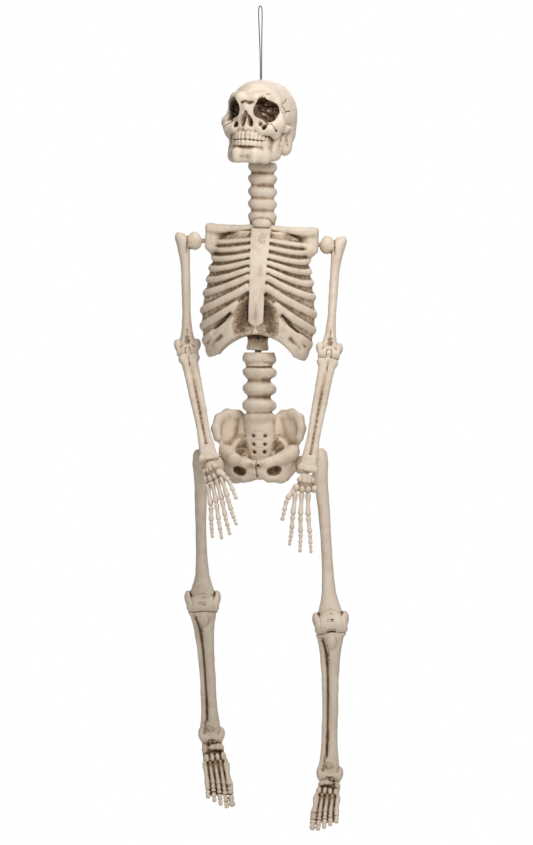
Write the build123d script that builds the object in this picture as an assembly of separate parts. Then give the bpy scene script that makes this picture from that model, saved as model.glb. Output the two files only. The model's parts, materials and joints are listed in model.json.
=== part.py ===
from build123d import *
from math import atan2, cos, degrees, radians, sin
import os

# A hanging skeleton figure of moulded plastic bones, in millimetres.
# +Z is up, the figure faces -Y, and its right side is on -X.
# The origin is the inside top of the hanging loop.

os.makedirs("parts", exist_ok=True)

# ---- driving dimensions -------------------------------------------------------------------------
WALL = 2.2  # thickness of the hollow mouldings
GAP = 0.35  # between curved faces that move past each other
RUN = 0.07  # radial clearance of a hinge pin in its hole
CORD_R = 0.6
STOPPER_TOP = -91.0  # the cord's two ends are fixed here
STOPPER_R = 5.0

PIVOT = Vector(1.8, 4, -174)  # ball of the neck peg, inside the base of the skull
SKULL_YAW = -21
SKULL_ROLL = 3

NECK_TOP = -188.0
NECK_FOOT = -262.0
NECK_R = 16.6
NECK_VALLEY_R = 13.4

TORSO_AT = Vector(1.8, 4, -258)
TORSO_LEAN = 2.3
TORSO_YAW = -4.5
STUB_R = 12.6
STUB_BOTTOM = -154.5

PELVIS_AT = Vector(-2.2, 4, -416.4)
PELVIS_YAW = -8
HIP_SIDE = 50.0
HIP_DROP = -134.0
HIP_BACK = 10.0

SIDES = {"right": -1, "left": 1}

# Rest pose of each side: angles from straight down, forward positive, in degrees.
SHOULDER = {"right": Vector(-79.5, 8, -281), "left": Vector(79, 8, -286)}
UPPER_ARM = {
    "length": 133.0,
    "forward": {"right": -10, "left": 10.5},
    "inward": {"right": 1.6, "left": 4.4},
}
FOREARM = {
    "length": 154.0,
    "forward": {"right": 22.5, "left": 10.8},
    "inward": {"right": 11.2, "left": 10.4},
}
HAND = {
    "forward": {"right": 18, "left": 5},
    "inward": {"right": 15, "left": 4},
    "turn": {"right": 42, "left": 8},
}
THIGH = {
    "length": 191.0,
    "forward": {"right": -30, "left": 3},
    "inward": {"right": 0.8, "left": -3.8},
}
SHANK = {
    "length": 190.0,
    "forward": {"right": -30, "left": -15},
    "inward": {"right": 3.6, "left": 0.4},
}
FOOT = {"forward": {"right": 36, "left": 58}, "inward": {"right": 9, "left": 9}}

ARM_OFFSET = 12.5  # from the shoulder ball out to the humerus shaft
LEG_OFFSET = 22.0  # from the hip ball out to the femur shaft

SHOULDER_BALL, SHOULDER_STEM = 5.0, 2.7
WRIST_BALL, WRIST_STEM = 3.4, 2.0
HIP_BALL, HIP_STEM = 6.0, 3.4
NECK_BALL, NECK_STEM = 7.0, 3.9
WAIST_BALL, WAIST_STEM = 6.5, 3.9

ELBOW = {"knuckle": 7.8, "width": 27.0, "tongue": 5.4, "pin": 1.6}
KNEE = {"knuckle": 12.0, "width": 40.0, "tongue": 9.0, "pin": 2.2}
ANKLE = {"knuckle": 8.6, "width": 27.0, "tongue": 8.0, "pin": 1.8}

LOOP_ROUTE = [
    (-0.75, 0, -91.0),
    (-0.75, 0, -63.0),
    (-1.9, 0, -34.0),
    (-2.7, 0, -14.0),
    (-2.9, 0, -5.0),
    (-2.2, 0, 0.5),
    (0.6, 0, 0.7),
    (1.3, 0, -5.0),
    (1.35, 0, -15.0),
    (1.0, 0, -34.0),
    (0.75, 0, -63.0),
    (0.76, 0, -91.0),
]

X, Y, Z = Vector(1, 0, 0), Vector(0, 1, 0), Vector(0, 0, 1)


# ---- frames and simple solids -------------------------------------------------------------------
def down(forward, inward, side):
    """Unit vector down a limb that leans forward and towards the middle of the figure."""
    tilt, lean = radians(forward), radians(inward)
    return Vector(-side * sin(lean) * cos(tilt), -sin(tilt), -cos(lean) * cos(tilt))


def limb_frame(at, along):
    """Frame with +Z up the limb, +X to the figure's left and +Y to its back."""
    back = (along * -1).cross(X).normalized()
    across = back.cross(along * -1).normalized()
    return Location(Plane(origin=at, x_dir=across, z_dir=along * -1))


def ovals(frame, sections):
    """Smooth solid through ovals, each (drop, half width, half depth, shift in X, shift in Y)."""
    faces = [frame * Pos(x, y, -drop) * Ellipse(wide, deep) for drop, wide, deep, x, y in sections]
    return loft(faces)


def inset(sections, wall, cut=0):
    """The same ovals, a wall's thickness smaller, without the first and last cut of them."""
    kept = sections[cut : len(sections) - cut]
    return [(drop, wide - wall, deep - wall, x, y) for drop, wide, deep, x, y in kept]


def hollow(frame, sections, wall=WALL, cut=1):
    """A moulding with one sealed hollow that follows its outside."""
    return ovals(frame, sections) - ovals(frame, inset(sections, wall, cut))


def rod(start, end, r_start, r_end=None):
    """Round bar between two points, tapered if it has two radii."""
    line = end - start
    at = Location(Plane(origin=start, z_dir=line))
    base = (Align.CENTER, Align.CENTER, Align.MIN)
    if r_end is None or r_end == r_start:
        return at * Cylinder(r_start, line.length, align=base)
    return at * Cone(r_start, r_end, line.length, align=base)


def peg(ball_at, stem_to, ball_r, stem_r):
    """Snap peg: a ball on a stem with a lead-in tip."""
    way = (stem_to - ball_at).normalized()
    tip = stem_to - way * 2
    stem = rod(ball_at, tip, stem_r) + rod(tip, stem_to, stem_r, stem_r - 1)
    return Pos(*ball_at) * Sphere(ball_r) + stem


def stem_hole(ball_at, stem_to, stem_r):
    """Hole that a peg's stem turns in, closed a little past the stem's tip."""
    way = (stem_to - ball_at).normalized()
    return rod(ball_at, stem_to + way * 0.6, stem_r + RUN)


def ball_seat(ball_at, stem_way, hinge, low, high, ball_r, stem_r, reach):
    """Socket for a ball, with a slot that lets the stem lean from low to high about hinge."""
    half = stem_r + 0.6
    plane = Plane(origin=ball_at, x_dir=stem_way, z_dir=hinge)
    ends = [(reach * cos(radians(a)), reach * sin(radians(a))) for a in (low, (low + high) / 2, high)]
    fan = make_face(Polyline((0, 0), *ends, close=True))
    slot = extrude(plane * fan, amount=half, both=True)
    for x, y in (ends[0], ends[2]):
        slot += rod(ball_at, plane.from_local_coords(Vector(x, y, 0)), half)
    return slot + Pos(*ball_at) * Sphere(ball_r + GAP)


def cross_pin(frame, r, length):
    """Pin across a limb, through the frame's origin."""
    return frame * Rot(0, 90, 0) * Cylinder(r, length)


def knuckle(frame, joint):
    """Rounded barrel across a limb."""
    barrel = frame * Rot(0, 90, 0) * Cylinder(joint["knuckle"], joint["width"])
    return fillet(barrel.edges().filter_by(GeomType.CIRCLE), joint["knuckle"] * 0.35)


def hinge_slot(frame, joint, open_ways):
    """Slot through a knuckle for the tongue, open towards each given direction in the frame."""
    width = joint["tongue"] + 2 * GAP
    radius = joint["knuckle"] - 1.2
    slot = frame * Rot(0, 90, 0) * Cylinder(radius, width)
    for way in open_ways:
        block = Box(width, 2 * radius, 3 * radius, align=(Align.CENTER, Align.CENTER, Align.MAX))
        slot += frame * Rot(way, 0, 0) * block
    return slot


def tongue(frame, joint, along):
    """Disc on the far bone in the near bone's slot, with a neck along the far bone."""
    radius = joint["knuckle"] - 1.6
    plane = Plane(frame)
    way = degrees(atan2(along.dot(plane.y_dir), -along.dot(plane.z_dir)))
    disc = frame * Rot(0, 90, 0) * Cylinder(radius, joint["tongue"])
    align = (Align.CENTER, Align.CENTER, Align.MAX)
    stalk = Box(joint["tongue"], 1.3 * radius, joint["knuckle"] + 4, align=align)
    return disc + frame * Rot(way, 0, 0) * stalk


def clear_of_knuckle(frame, joint):
    """What the far bone leaves free so that it can turn round the knuckle."""
    return frame * Rot(0, 90, 0) * Cylinder(joint["knuckle"] + 0.6, joint["width"] * 2)


def ringed_column(top, foot, crest, valley, rings):
    """Column of vertebrae: a turned profile with evenly spaced rings."""
    pitch = (top - foot) / rings
    outline = [(valley * 0.9, top)]
    for k in range(rings):
        outline.append((crest, top - pitch * (k + 0.45)))
        outline.append((valley, top - pitch * (k + 1)))
    wavy = Spline(*outline)
    closed = Wire([wavy, *Polyline(outline[-1], (0, foot), (0, top), outline[0]).edges()])
    return revolve(Plane.XZ * Face(closed), Axis.Z)


# ---- head ---------------------------------------------------------------------------------------
def hanging_cord():
    points = [Vector(*p) for p in LOOP_ROUTE]
    radii = []
    for before, here, after in zip(points, points[1:], points[2:]):
        turn = (here - before).get_angle(after - here)
        run = min((here - before).length, (after - here).length)
        radii.append(0.45 * run / sin(radians(turn) / 2) * cos(radians(turn) / 2))
    path = FilletPolyline(*points, radius=radii)
    print("loop: radii", [round(r, 1) for r in radii], "length", round(path.length, 1))
    section = Plane(origin=points[0], z_dir=points[1] - points[0]) * Circle(CORD_R)
    return sweep(section, path=path)


def cord_stopper():
    """Round toggle inside the crown that the cord's two ends are fixed to."""
    disc = Pos(0, 0, STOPPER_TOP - 1.5) * Cylinder(STOPPER_R, 3)
    return fillet(disc.edges(), 1)


SKULL_FRAME = Pos(*PIVOT) * Rot(0, 0, SKULL_YAW) * Rot(0, SKULL_ROLL, 0)
CRANIUM = {"centre": (0, -12, 43), "radii": (41.5, 56, 42.6)}
FACE = [  # drop below the neck ball, half width, half depth, shift in X, shift in Y
    (-44, 33, 26, 0, -41),
    (-30, 31, 26, 0, -42),
    (-16, 27, 23, 0, -44),
    (-2, 24, 20, 0, -47),
    (9, 21, 15, 0, -51),
    (14, 18, 12, 0, -52),
]


def ellipsoid(centre, radii):
    return Pos(*centre) * scale(Sphere(1), by=radii)


def skull():
    rx, ry, rz = CRANIUM["radii"]
    cranium = ellipsoid(CRANIUM["centre"], CRANIUM["radii"])
    jaw_angles = [rod(Vector(s * 25, -30, 2), Vector(s * 20, -48, -10), 5.5, 4) for s in (-1, 1)]
    cheeks = [rod(Vector(s * 36, -16, 24), Vector(s * 27, -54, 22), 4, 6.5) for s in (-1, 1)]
    boss = rod(Vector(0, 0, -7), Vector(0, 0, 20), 10.8)
    head = cranium + ovals(Pos(0, 0, 0), FACE) + jaw_angles + cheeks + boss

    eyes = [Pos(s * 16.5, -66, 35) * Sphere(12.5) for s in (-1, 1)]
    nose = rod(Vector(0, -74, 18), Vector(0, -56, 22), 7, 3)
    mouth = Pos(0, -68, 3) * Box(34, 14, 1.6)
    inside = ellipsoid((0, -3, 44.5), (rx - 2.6, ry - 12, rz - 4.6))
    inside -= rod(Vector(0, 0, 0), Vector(0, 0, 22), 12)
    mouth_void = Pos(0, -44, 4) * Box(30, 18, 26)
    head = SKULL_FRAME * (head - eyes - nose - mouth - inside - mouth_void)

    nod = SKULL_FRAME.orientation.Z
    hinge = Vector(cos(radians(nod)), sin(radians(nod)), 0)
    seat = ball_seat(PIVOT, Z * -1, hinge, -14, 14, NECK_BALL, NECK_STEM, 30)
    crown_hole = rod(Vector(0, 0, -100), Vector(0, 0, -80), 1.9)
    pocket = rod(Vector(0, 0, -98), Vector(0, 0, STOPPER_TOP), STOPPER_R + 1)
    return head - seat - crown_hole - pocket


def neck_peg():
    return peg(PIVOT, Vector(PIVOT.X, PIVOT.Y, NECK_TOP - 18), NECK_BALL, NECK_STEM)


# ---- rib cage with the neck ---------------------------------------------------------------------
TORSO_FRAME = Pos(*TORSO_AT) * Rot(0, 0, TORSO_YAW) * Rot(0, TORSO_LEAN, 0)
RIB_BARREL = [
    (10, 34, 15, 0, 0),
    (22, 50, 23, 0, -1),
    (42, 55, 32, 0, -2),
    (70, 61, 37, 0, -3),
    (110, 66.5, 39, 0, -4),
    (140, 64.5, 36, 0, -4),
    (160, 57, 31, 0, -3),
]
RIB_RELIEF = 2.4
RIBS = 9


def arch(grow=0):
    """Prism of the open arch below the ribs."""
    half, rise, foot = 46 + grow, 26 + grow, -162
    top = ThreePointArc((-half, foot), (0, foot + rise), (half, foot))
    sides = Polyline((half, foot), (half + 4, foot - 30), (-half - 4, foot - 30), (-half, foot))
    return extrude(Plane.XZ * make_face([top, sides]), amount=80, both=True)


def shoulder_bore(side):
    """Where the shoulder peg's stem ends inside the rib cage."""
    at = SHOULDER[side]
    return Vector(at.X - SIDES[side] * 25, at.Y, at.Z)


def rib_cage():
    barrel = ovals(Pos(0, 0, 0), RIB_BARREL)
    proud = ovals(Pos(0, 0, 0), inset(RIB_BARREL, -RIB_RELIEF))
    slabs = [Pos(0, 0, -34 - 13.4 * k) * Rot(14, 0, 0) * Box(170, 130, 7) for k in range(RIBS)]
    body = barrel + [proud & slab for slab in slabs] - arch()
    body -= ovals(Pos(0, 0, 0), inset(RIB_BARREL, WALL, 1)) - arch(WALL)

    clavicles = [rod(Vector(0, -6, -9), Vector(s * 62, -2, -11), 4.6) for s in (-1, 1)]
    blocks = [Pos(s * 61.5, 2, -20) * Box(12, 22, 31) for s in (-1, 1)]
    blocks = [fillet(b.edges().filter_by(Axis.Y), 3.5) for b in blocks]
    ribs_to_blocks = [rod(Vector(s * 40, 2, -24), Vector(s * 58, 2, -20), 9) for s in (-1, 1)]
    from_top = (Align.CENTER, Align.CENTER, Align.MAX)
    sternum = Pos(0, -30, -10) * Rot(9, 0, 0) * Box(21, 8, 122, align=from_top)
    spine = rod(Vector(0, 0, -60), Vector(0, 0, STUB_BOTTOM), STUB_R)
    spine -= rod(Vector(0, 0, -60), Vector(0, 0, STUB_BOTTOM + 32), STUB_R - WALL)
    body = body + clavicles + blocks + ribs_to_blocks + sternum + spine

    neck = ringed_column(NECK_TOP, NECK_FOOT, NECK_R, NECK_VALLEY_R, 5)
    neck -= rod(Vector(0, 0, NECK_TOP - 24), Vector(0, 0, NECK_FOOT), NECK_VALLEY_R - WALL - 0.5)
    root = rod(Vector(0, 0, NECK_FOOT + 2), Vector(0, 0, NECK_FOOT - 16), NECK_VALLEY_R, NECK_VALLEY_R + 4)
    body = TORSO_FRAME * body + Pos(TORSO_AT.X, TORSO_AT.Y, 0) * (neck + root)

    holes = [stem_hole(PIVOT, Vector(PIVOT.X, PIVOT.Y, NECK_TOP - 18), NECK_STEM)]
    holes += [stem_hole(SHOULDER[s], shoulder_bore(s), SHOULDER_STEM) for s in SIDES]
    holes += [stem_hole(WAIST, WAIST_STEM_TOP, WAIST_STEM)]
    return body - holes


# ---- waist and pelvis ---------------------------------------------------------------------------
WAIST = Vector(-3.6, 4, -425.5)  # ball of the waist peg, in the top of the lumbar column
WAIST_STEM_TOP = Vector(-3.6, 4, -396)


def waist_peg():
    return peg(WAIST, WAIST_STEM_TOP, WAIST_BALL, WAIST_STEM)


PELVIS_FRAME = Pos(*PELVIS_AT) * Rot(0, 0, PELVIS_YAW)
WING_OUTLINE = [(14, -84), (27, -70), (40, -68), (51, -75), (55.5, -90), (53, -102), (46, -113), (41, -128)]
SEAT_OUTLINE = [(41, -128), (40, -142), (33, -152), (20, -154.5), (6, -149.5)]


def pelvis():
    half_outline = [*WING_OUTLINE, *SEAT_OUTLINE[1:]]
    mirrored = [(-x, z) for x, z in reversed(half_outline)]
    front = make_face(Polyline(*half_outline, *mirrored, close=True))
    silhouette = extrude(Plane.XZ * front, amount=60, both=True)

    bowl = Pos(0, -58, -78) * (Cylinder(85, 74) - Cylinder(67, 80))
    floor = ovals(Pos(0, 0, 0), [(112, 46, 26, 0, -2), (130, 44, 27, 0, -2), (158, 36, 22, 0, -4)])
    wings = silhouette & (bowl + floor)
    belly = ovals(Pos(0, 0, 0), [(122, 24, 17, 0, -4), (132, 24, 18, 0, -4), (146, 22, 16, 0, -5)])
    sacrum = ovals(
        Pos(0, 0, 0), [(72, 14, 12, 0, 3), (90, 16, 12, 0, 4), (112, 15, 10, 0, 5), (136, 12, 9, 0, 6)]
    )
    lumbar = ringed_column(0, -75, 18.5, 13.2, 4) - rod(Vector(0, 0, -36), Vector(0, 0, -73), 10.6)
    collar = rod(Vector(0, 0, -2), Vector(0, 0, -20), 13.5)
    body = PELVIS_FRAME * (wings + sacrum + lumbar + collar - belly)

    for side, s in SIDES.items():
        hip = hip_centre(side)
        body += rod(hip - X * s * 10.5, hip - X * s * 27, 11)
        body -= Pos(*hip) * Sphere(12.7)
        body -= rod(hip, hip + X * s * 30, 20)
        body -= stem_hole(hip, hip - X * s * 24, HIP_STEM)
    return body - ball_seat(WAIST, Z, X, -12, 12, WAIST_BALL, WAIST_STEM, 26)


def hip_centre(side):
    return Vector(SIDES[side] * HIP_SIDE + PELVIS_AT.X + 1.5, HIP_BACK, PELVIS_AT.Z + HIP_DROP)


# ---- arms ---------------------------------------------------------------------------------------
def arm_lines(side):
    """Shoulder, elbow and wrist centres, and the directions down each part of the arm."""
    s = SIDES[side]
    upper = down(UPPER_ARM["forward"][side], UPPER_ARM["inward"][side], s)
    lower = down(FOREARM["forward"][side], FOREARM["inward"][side], s)
    elbow = SHOULDER[side] + X * s * ARM_OFFSET + upper * UPPER_ARM["length"]
    wrist = elbow + lower * FOREARM["length"]
    return upper, lower, elbow, wrist


def shoulder_peg(side):
    return peg(SHOULDER[side], shoulder_bore(side), SHOULDER_BALL, SHOULDER_STEM)


def upper_arm(side):
    s = SIDES[side]
    upper, lower, elbow, _ = arm_lines(side)
    length = UPPER_ARM["length"]
    frame = limb_frame(SHOULDER[side] + X * s * ARM_OFFSET, upper)
    shaft = [
        (-9, 4.5, 5, -s * 1, 0),
        (-3, 8, 8, -s * 2, 0),
        (8, 7.6, 7.8, -s * 1.5, 0),
        (24, 6.2, 6.4, 0, 0),
        (60, 5.6, 5.8, 0, 0),
        (length - 34, 5.6, 5.8, 0, 0),
        (length - 16, 8.5, 6.2, 0, 0),
        (length - 2, 12.8, 6.8, 0, 0),
    ]
    hinge = limb_frame(elbow, upper)
    bone = ovals(frame, shaft) - ovals(frame, inset(shaft, 2, 3))
    bone += Pos(*SHOULDER[side]) * Sphere(9)
    bone += rod(SHOULDER[side], SHOULDER[side] + X * s * ARM_OFFSET, 8.6, 7)
    bone += knuckle(hinge, ELBOW)
    bone -= ball_seat(SHOULDER[side], X * -s, Y * s, -4, 52, SHOULDER_BALL, SHOULDER_STEM, 16)
    bone -= hinge_slot(hinge, ELBOW, (0, -45, -90))
    return bone - cross_pin(hinge, ELBOW["pin"], ELBOW["width"] - 3)


def elbow_pin(side):
    upper, _, elbow, _ = arm_lines(side)
    return cross_pin(limb_frame(elbow, upper), ELBOW["pin"], ELBOW["width"] - 3)


def forearm(side):
    s = SIDES[side]
    upper, lower, elbow, wrist = arm_lines(side)
    frame = limb_frame(elbow, lower)
    end = FOREARM["length"] - 7
    shaft = [
        (6, 12.6, 6.3, 0, 0),
        (18, 10.8, 6.6, 0, 0),
        (34, 9, 6.4, 0, 0),
        (66, 9, 6, -s * 0.5, 0),
        (94, 7.6, 5.8, s * 0.6, 0),
        (112, 7.2, 5.8, s * 1.0, 0),
        (end - 10, 10.5, 6.4, -s * 0.5, 0),
        (end, 12.4, 6.6, -s * 1, 0),
    ]
    hinge = limb_frame(elbow, upper)
    bone = hollow(frame, shaft, 2, 2)
    bone -= clear_of_knuckle(hinge, ELBOW)
    bone += tongue(hinge, ELBOW, lower)
    bone -= cross_pin(hinge, ELBOW["pin"] + RUN, 20)
    bone += frame * Pos(0, 0, -end + 10.5) * Cylinder(5, 20)
    return bone - stem_hole(wrist, wrist - lower * 20, WRIST_STEM)


def wrist_peg(side):
    _, lower, _, wrist = arm_lines(side)
    return peg(wrist, wrist - lower * 20, WRIST_BALL, WRIST_STEM)


def hand_frame(side):
    s = SIDES[side]
    _, _, _, wrist = arm_lines(side)
    along = down(HAND["forward"][side], HAND["inward"][side], s)
    return limb_frame(wrist, along) * Rot(0, 0, s * HAND["turn"][side])


def wrist_hinge(side):
    """Axis across the hand, square to the wrist peg."""
    _, lower, _, _ = arm_lines(side)
    across = Plane(hand_frame(side)).x_dir
    return (across - lower * across.dot(lower)).normalized()


def finger(root, knuckle_at, tip, r):
    """Metacarpal, knuckle and tapered digit."""
    bones = rod(root, knuckle_at, r - 0.3) + rod(knuckle_at, tip, r - 0.2, r - 1.1)
    return bones + Pos(*knuckle_at) * Sphere(r + 0.4) + Pos(*tip) * Sphere(r - 0.6)


def hand(side):
    """Back of the hand faces -Y of its frame, and the thumb points to the middle of the figure."""
    s = SIDES[side]
    frame = hand_frame(side)
    palm = [
        (-5, 6.5, 5, 0, 0),
        (0, 8.4, 6.4, 0, 0),
        (8, 10.5, 6.2, 0, 0),
        (20, 12.5, 5, 0, 0),
    ]
    body = ovals(frame, palm)
    for k in range(4):
        root = Vector(s * (-9 + 6 * k), 0, -16)
        knuckle_at = root + Vector(s * (-3.6 + 3.0 * k), 0, -31)
        tip = knuckle_at + Vector(s * (-1.6 + 4.2 * k), 1, -(44 if k in (1, 2) else 37))
        body += frame * finger(root, knuckle_at, tip, 2.7)
    thumb_root = Vector(-s * 9, 0, -12)
    thumb_mid = thumb_root + Vector(-s * 12, 0, -16)
    thumb_tip = thumb_mid + Vector(-s * 4, 0, -26)
    body += frame * finger(thumb_root, thumb_mid, thumb_tip, 2.9)
    _, lower, _, wrist = arm_lines(side)
    return body - ball_seat(wrist, lower * -1, wrist_hinge(side), -32, 32, WRIST_BALL, WRIST_STEM, 12)


# ---- legs ---------------------------------------------------------------------------------------
def leg_lines(side):
    """Hip, knee and ankle centres, and the directions down each part of the leg."""
    s = SIDES[side]
    upper = down(THIGH["forward"][side], THIGH["inward"][side], s)
    lower = down(SHANK["forward"][side], SHANK["inward"][side], s)
    knee = hip_centre(side) + X * s * LEG_OFFSET + upper * THIGH["length"]
    ankle = knee + lower * SHANK["length"]
    return upper, lower, knee, ankle


def hip_peg(side):
    hip = hip_centre(side)
    return peg(hip, hip - X * SIDES[side] * 24, HIP_BALL, HIP_STEM)


def thigh(side):
    s = SIDES[side]
    hip = hip_centre(side)
    upper, _, knee, _ = leg_lines(side)
    length = THIGH["length"]
    frame = limb_frame(hip + X * s * LEG_OFFSET, upper)
    shaft = [
        (-19, 4, 5, 0, 0),
        (-10, 8.2, 9.5, 0, 0),
        (4, 9.4, 10, 0, 0),
        (24, 8.6, 9, 0, 0),
        (60, 7.6, 8, 0, 0),
        (length - 62, 7.6, 8, 0, 0),
        (length - 34, 9, 8.6, 0, 0),
        (length - 14, 15, 9.4, 0, 0),
        (length - 2, 18.6, 11, 0, 0),
    ]
    hinge = limb_frame(knee, upper)
    bone = ovals(frame, shaft) - ovals(frame, inset(shaft, WALL, 3))
    bone += rod(hip, hip + X * s * (LEG_OFFSET - 2) + Z * 4, 8, 9)
    bone += Pos(*hip) * Rot(0, 90, 0) * Sphere(11.6)
    bone += knuckle(hinge, KNEE)
    bone -= hinge_slot(hinge, KNEE, (0, 45, 90))
    bone -= ball_seat(hip, X * -s, Y * s, -4, 42, HIP_BALL, HIP_STEM, 20)
    return bone - cross_pin(hinge, KNEE["pin"], KNEE["width"] - 5)


def knee_pin(side):
    upper, _, knee, _ = leg_lines(side)
    return cross_pin(limb_frame(knee, upper), KNEE["pin"], KNEE["width"] - 5)


def lower_leg(side):
    upper, lower, knee, ankle = leg_lines(side)
    length = SHANK["length"]
    frame = limb_frame(knee, lower)
    shaft = [
        (8, 17, 10.6, 0, 0),
        (24, 15, 10.6, 0, 0),
        (46, 11.6, 9.6, 0, 0),
        (96, 10, 8.2, 0, 0),
        (length - 44, 9.8, 8.2, 0, 0),
        (length - 20, 11.6, 8.6, 0, 0),
        (length, 12.6, 8.4, 0, 0),
    ]
    above, below = limb_frame(knee, upper), limb_frame(ankle, lower)
    bone = hollow(frame, shaft, WALL, 2)
    bone -= clear_of_knuckle(above, KNEE)
    bone += tongue(above, KNEE, lower)
    bone += knuckle(below, ANKLE)
    bone -= cross_pin(above, KNEE["pin"] + RUN, 30)
    bone -= hinge_slot(below, ANKLE, (0, -45, -90))
    return bone - cross_pin(below, ANKLE["pin"], ANKLE["width"] - 4)


def ankle_pin(side):
    _, lower, _, ankle = leg_lines(side)
    return cross_pin(limb_frame(ankle, lower), ANKLE["pin"], ANKLE["width"] - 4)


def foot(side):
    """The toes point down in the foot's frame, and the sole is on its +Y side."""
    s = SIDES[side]
    _, lower, _, ankle = leg_lines(side)
    frame = limb_frame(ankle, down(FOOT["forward"][side], FOOT["inward"][side], s))
    body = ovals(
        frame,
        [
            (-24, 7, 6.5, 0, 15),
            (-12, 10.5, 10, 0, 14),
            (6, 13.5, 12, 0, 12),
            (26, 14.5, 10.5, 0, 10),
            (50, 16, 7.5, 0, 11),
            (72, 17, 6, 0, 13),
        ],
    )
    for k in range(5):
        root = Vector(-s * (13 - 6.4 * k), 13, -62)
        reach = (36, 39, 36, 32, 27)[k]
        radius = 4.2 if k == 0 else 3.1
        tip = root + Vector(s * k * 0.5, 2, -reach)
        body += frame * (rod(root, tip, radius, radius * 0.7) + Pos(*tip) * Sphere(radius * 0.8))
    hinge = limb_frame(ankle, lower)
    body -= clear_of_knuckle(hinge, ANKLE)
    leg_swing = make_face(Polyline((-11, 0), (-26, 40), (26, 40), (11, 0), close=True))
    body -= hinge * extrude(Plane.YZ * leg_swing, amount=30, both=True)
    plane = Plane(frame)
    body += tongue(hinge, ANKLE, plane.y_dir * sin(radians(30)) - plane.z_dir * cos(radians(30)))
    return body - cross_pin(hinge, ANKLE["pin"] + RUN, 26)


# ---- write every piece --------------------------------------------------------------------------
def main():
    centre_pieces = [hanging_cord, cord_stopper, skull, neck_peg, rib_cage, waist_peg, pelvis]
    side_pieces = [
        shoulder_peg, upper_arm, elbow_pin, forearm, wrist_peg, hand,
        hip_peg, thigh, knee_pin, lower_leg, ankle_pin, foot,
    ]
    for make in centre_pieces:
        export_step(make(), f"parts/{make.__name__}.step")
    for side in SIDES:
        for make in side_pieces:
            export_step(make(side), f"parts/{side}_{make.__name__}.step")


main()
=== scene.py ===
import json
import math
import bpy
import numpy as np
from mathutils import Matrix, Vector


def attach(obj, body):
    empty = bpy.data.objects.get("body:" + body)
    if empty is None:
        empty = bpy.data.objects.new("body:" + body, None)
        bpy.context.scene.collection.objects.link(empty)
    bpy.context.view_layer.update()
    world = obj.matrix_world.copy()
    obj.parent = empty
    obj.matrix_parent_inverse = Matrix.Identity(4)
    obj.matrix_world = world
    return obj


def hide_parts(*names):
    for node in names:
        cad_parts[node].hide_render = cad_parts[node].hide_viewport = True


# A hanging skeleton of moulded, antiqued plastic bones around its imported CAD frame.
# Bones are sculpted as signed distances in millimetres, in a frame of their own, and meshed.
# The figure faces -Y, and its right side is on -X.

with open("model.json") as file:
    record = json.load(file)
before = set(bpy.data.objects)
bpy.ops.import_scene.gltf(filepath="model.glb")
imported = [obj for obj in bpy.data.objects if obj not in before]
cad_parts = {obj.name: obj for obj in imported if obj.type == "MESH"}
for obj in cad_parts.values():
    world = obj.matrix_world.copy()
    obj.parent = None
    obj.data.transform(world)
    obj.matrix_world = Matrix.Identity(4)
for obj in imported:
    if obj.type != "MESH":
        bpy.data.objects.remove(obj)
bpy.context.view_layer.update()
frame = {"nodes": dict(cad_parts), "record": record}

MM = 0.001
SIDES = {"right": -1, "left": 1}
JOINT = {j["name"]: j for j in frame["record"]["behaviour"]["joints"]}
COARSE = 1.0

# Sizes shared with the CAD model, in mm.
GAP = 0.35
CORD_D = 1.2
ARM_OFFSET, LEG_OFFSET = 12.5, 22.0
ELBOW = {"knuckle": 7.8, "width": 27.0, "tongue": 5.4}
KNEE = {"knuckle": 12.0, "width": 40.0, "tongue": 9.0}
ANKLE = {"knuckle": 8.6, "width": 27.0, "tongue": 8.0}
BALL = {"neck": (7.0, 3.9), "waist": (6.5, 3.9), "shoulder": (5.0, 2.7), "wrist": (3.4, 2.0), "hip": (6.0, 3.4)}
HAND = {"forward": {"right": 18, "left": 5}, "inward": {"right": 15, "left": 4}, "turn": {"right": 42, "left": 8}}
FOOT = {"forward": {"right": 36, "left": 58}, "inward": {"right": 9, "left": 9}}


# ---- camera, then the cord ----------------------------------------------------------------------
def add_camera():
    """Far away with a long lens, level with the middle of the figure."""
    distance, view_height, middle = 16.0, 1.014, (0.0066, -0.4992)
    data = bpy.data.cameras.new("camera")
    data.lens = data.sensor_width * distance / view_height
    data.clip_end = 60
    camera = bpy.data.objects.new("camera", data)
    camera.location = (middle[0], -distance, middle[1])
    camera.rotation_euler = (math.radians(90), 0, 0)
    bpy.context.scene.collection.objects.link(camera)
    bpy.context.scene.camera = camera


LOOP_ROUTE = [
    (-0.75, 0, -91.0),
    (-0.75, 0, -63.0),
    (-1.9, 0, -34.0),
    (-2.7, 0, -14.0),
    (-2.9, 0, -5.0),
    (-2.2, 0, 0.5),
    (0.6, 0, 0.7),
    (1.3, 0, -5.0),
    (1.35, 0, -15.0),
    (1.0, 0, -34.0),
    (0.75, 0, -63.0),
    (0.76, 0, -91.0),
]


def add_cord():
    """Loop of thin cord whose two ends go down through the crown to the stopper."""
    data = bpy.data.curves.new("hanging_loop", "CURVE")
    data.dimensions = "3D"
    data.bevel_depth = CORD_D / 2
    data.bevel_resolution = 3
    data.resolution_u = 12
    data.use_fill_caps = True
    spline = data.splines.new("NURBS")
    spline.points.add(len(LOOP_ROUTE) - 1)
    for point, place in zip(spline.points, LOOP_ROUTE):
        point.co = (*(v * MM for v in place), 1)
        point.radius = MM
    spline.order_u = 3
    spline.use_endpoint_u = True
    loop = bpy.data.objects.new("hanging_loop", data)
    bpy.context.scene.collection.objects.link(loop)
    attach(loop, "head")
    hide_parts("hanging_cord")
    return loop


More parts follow.
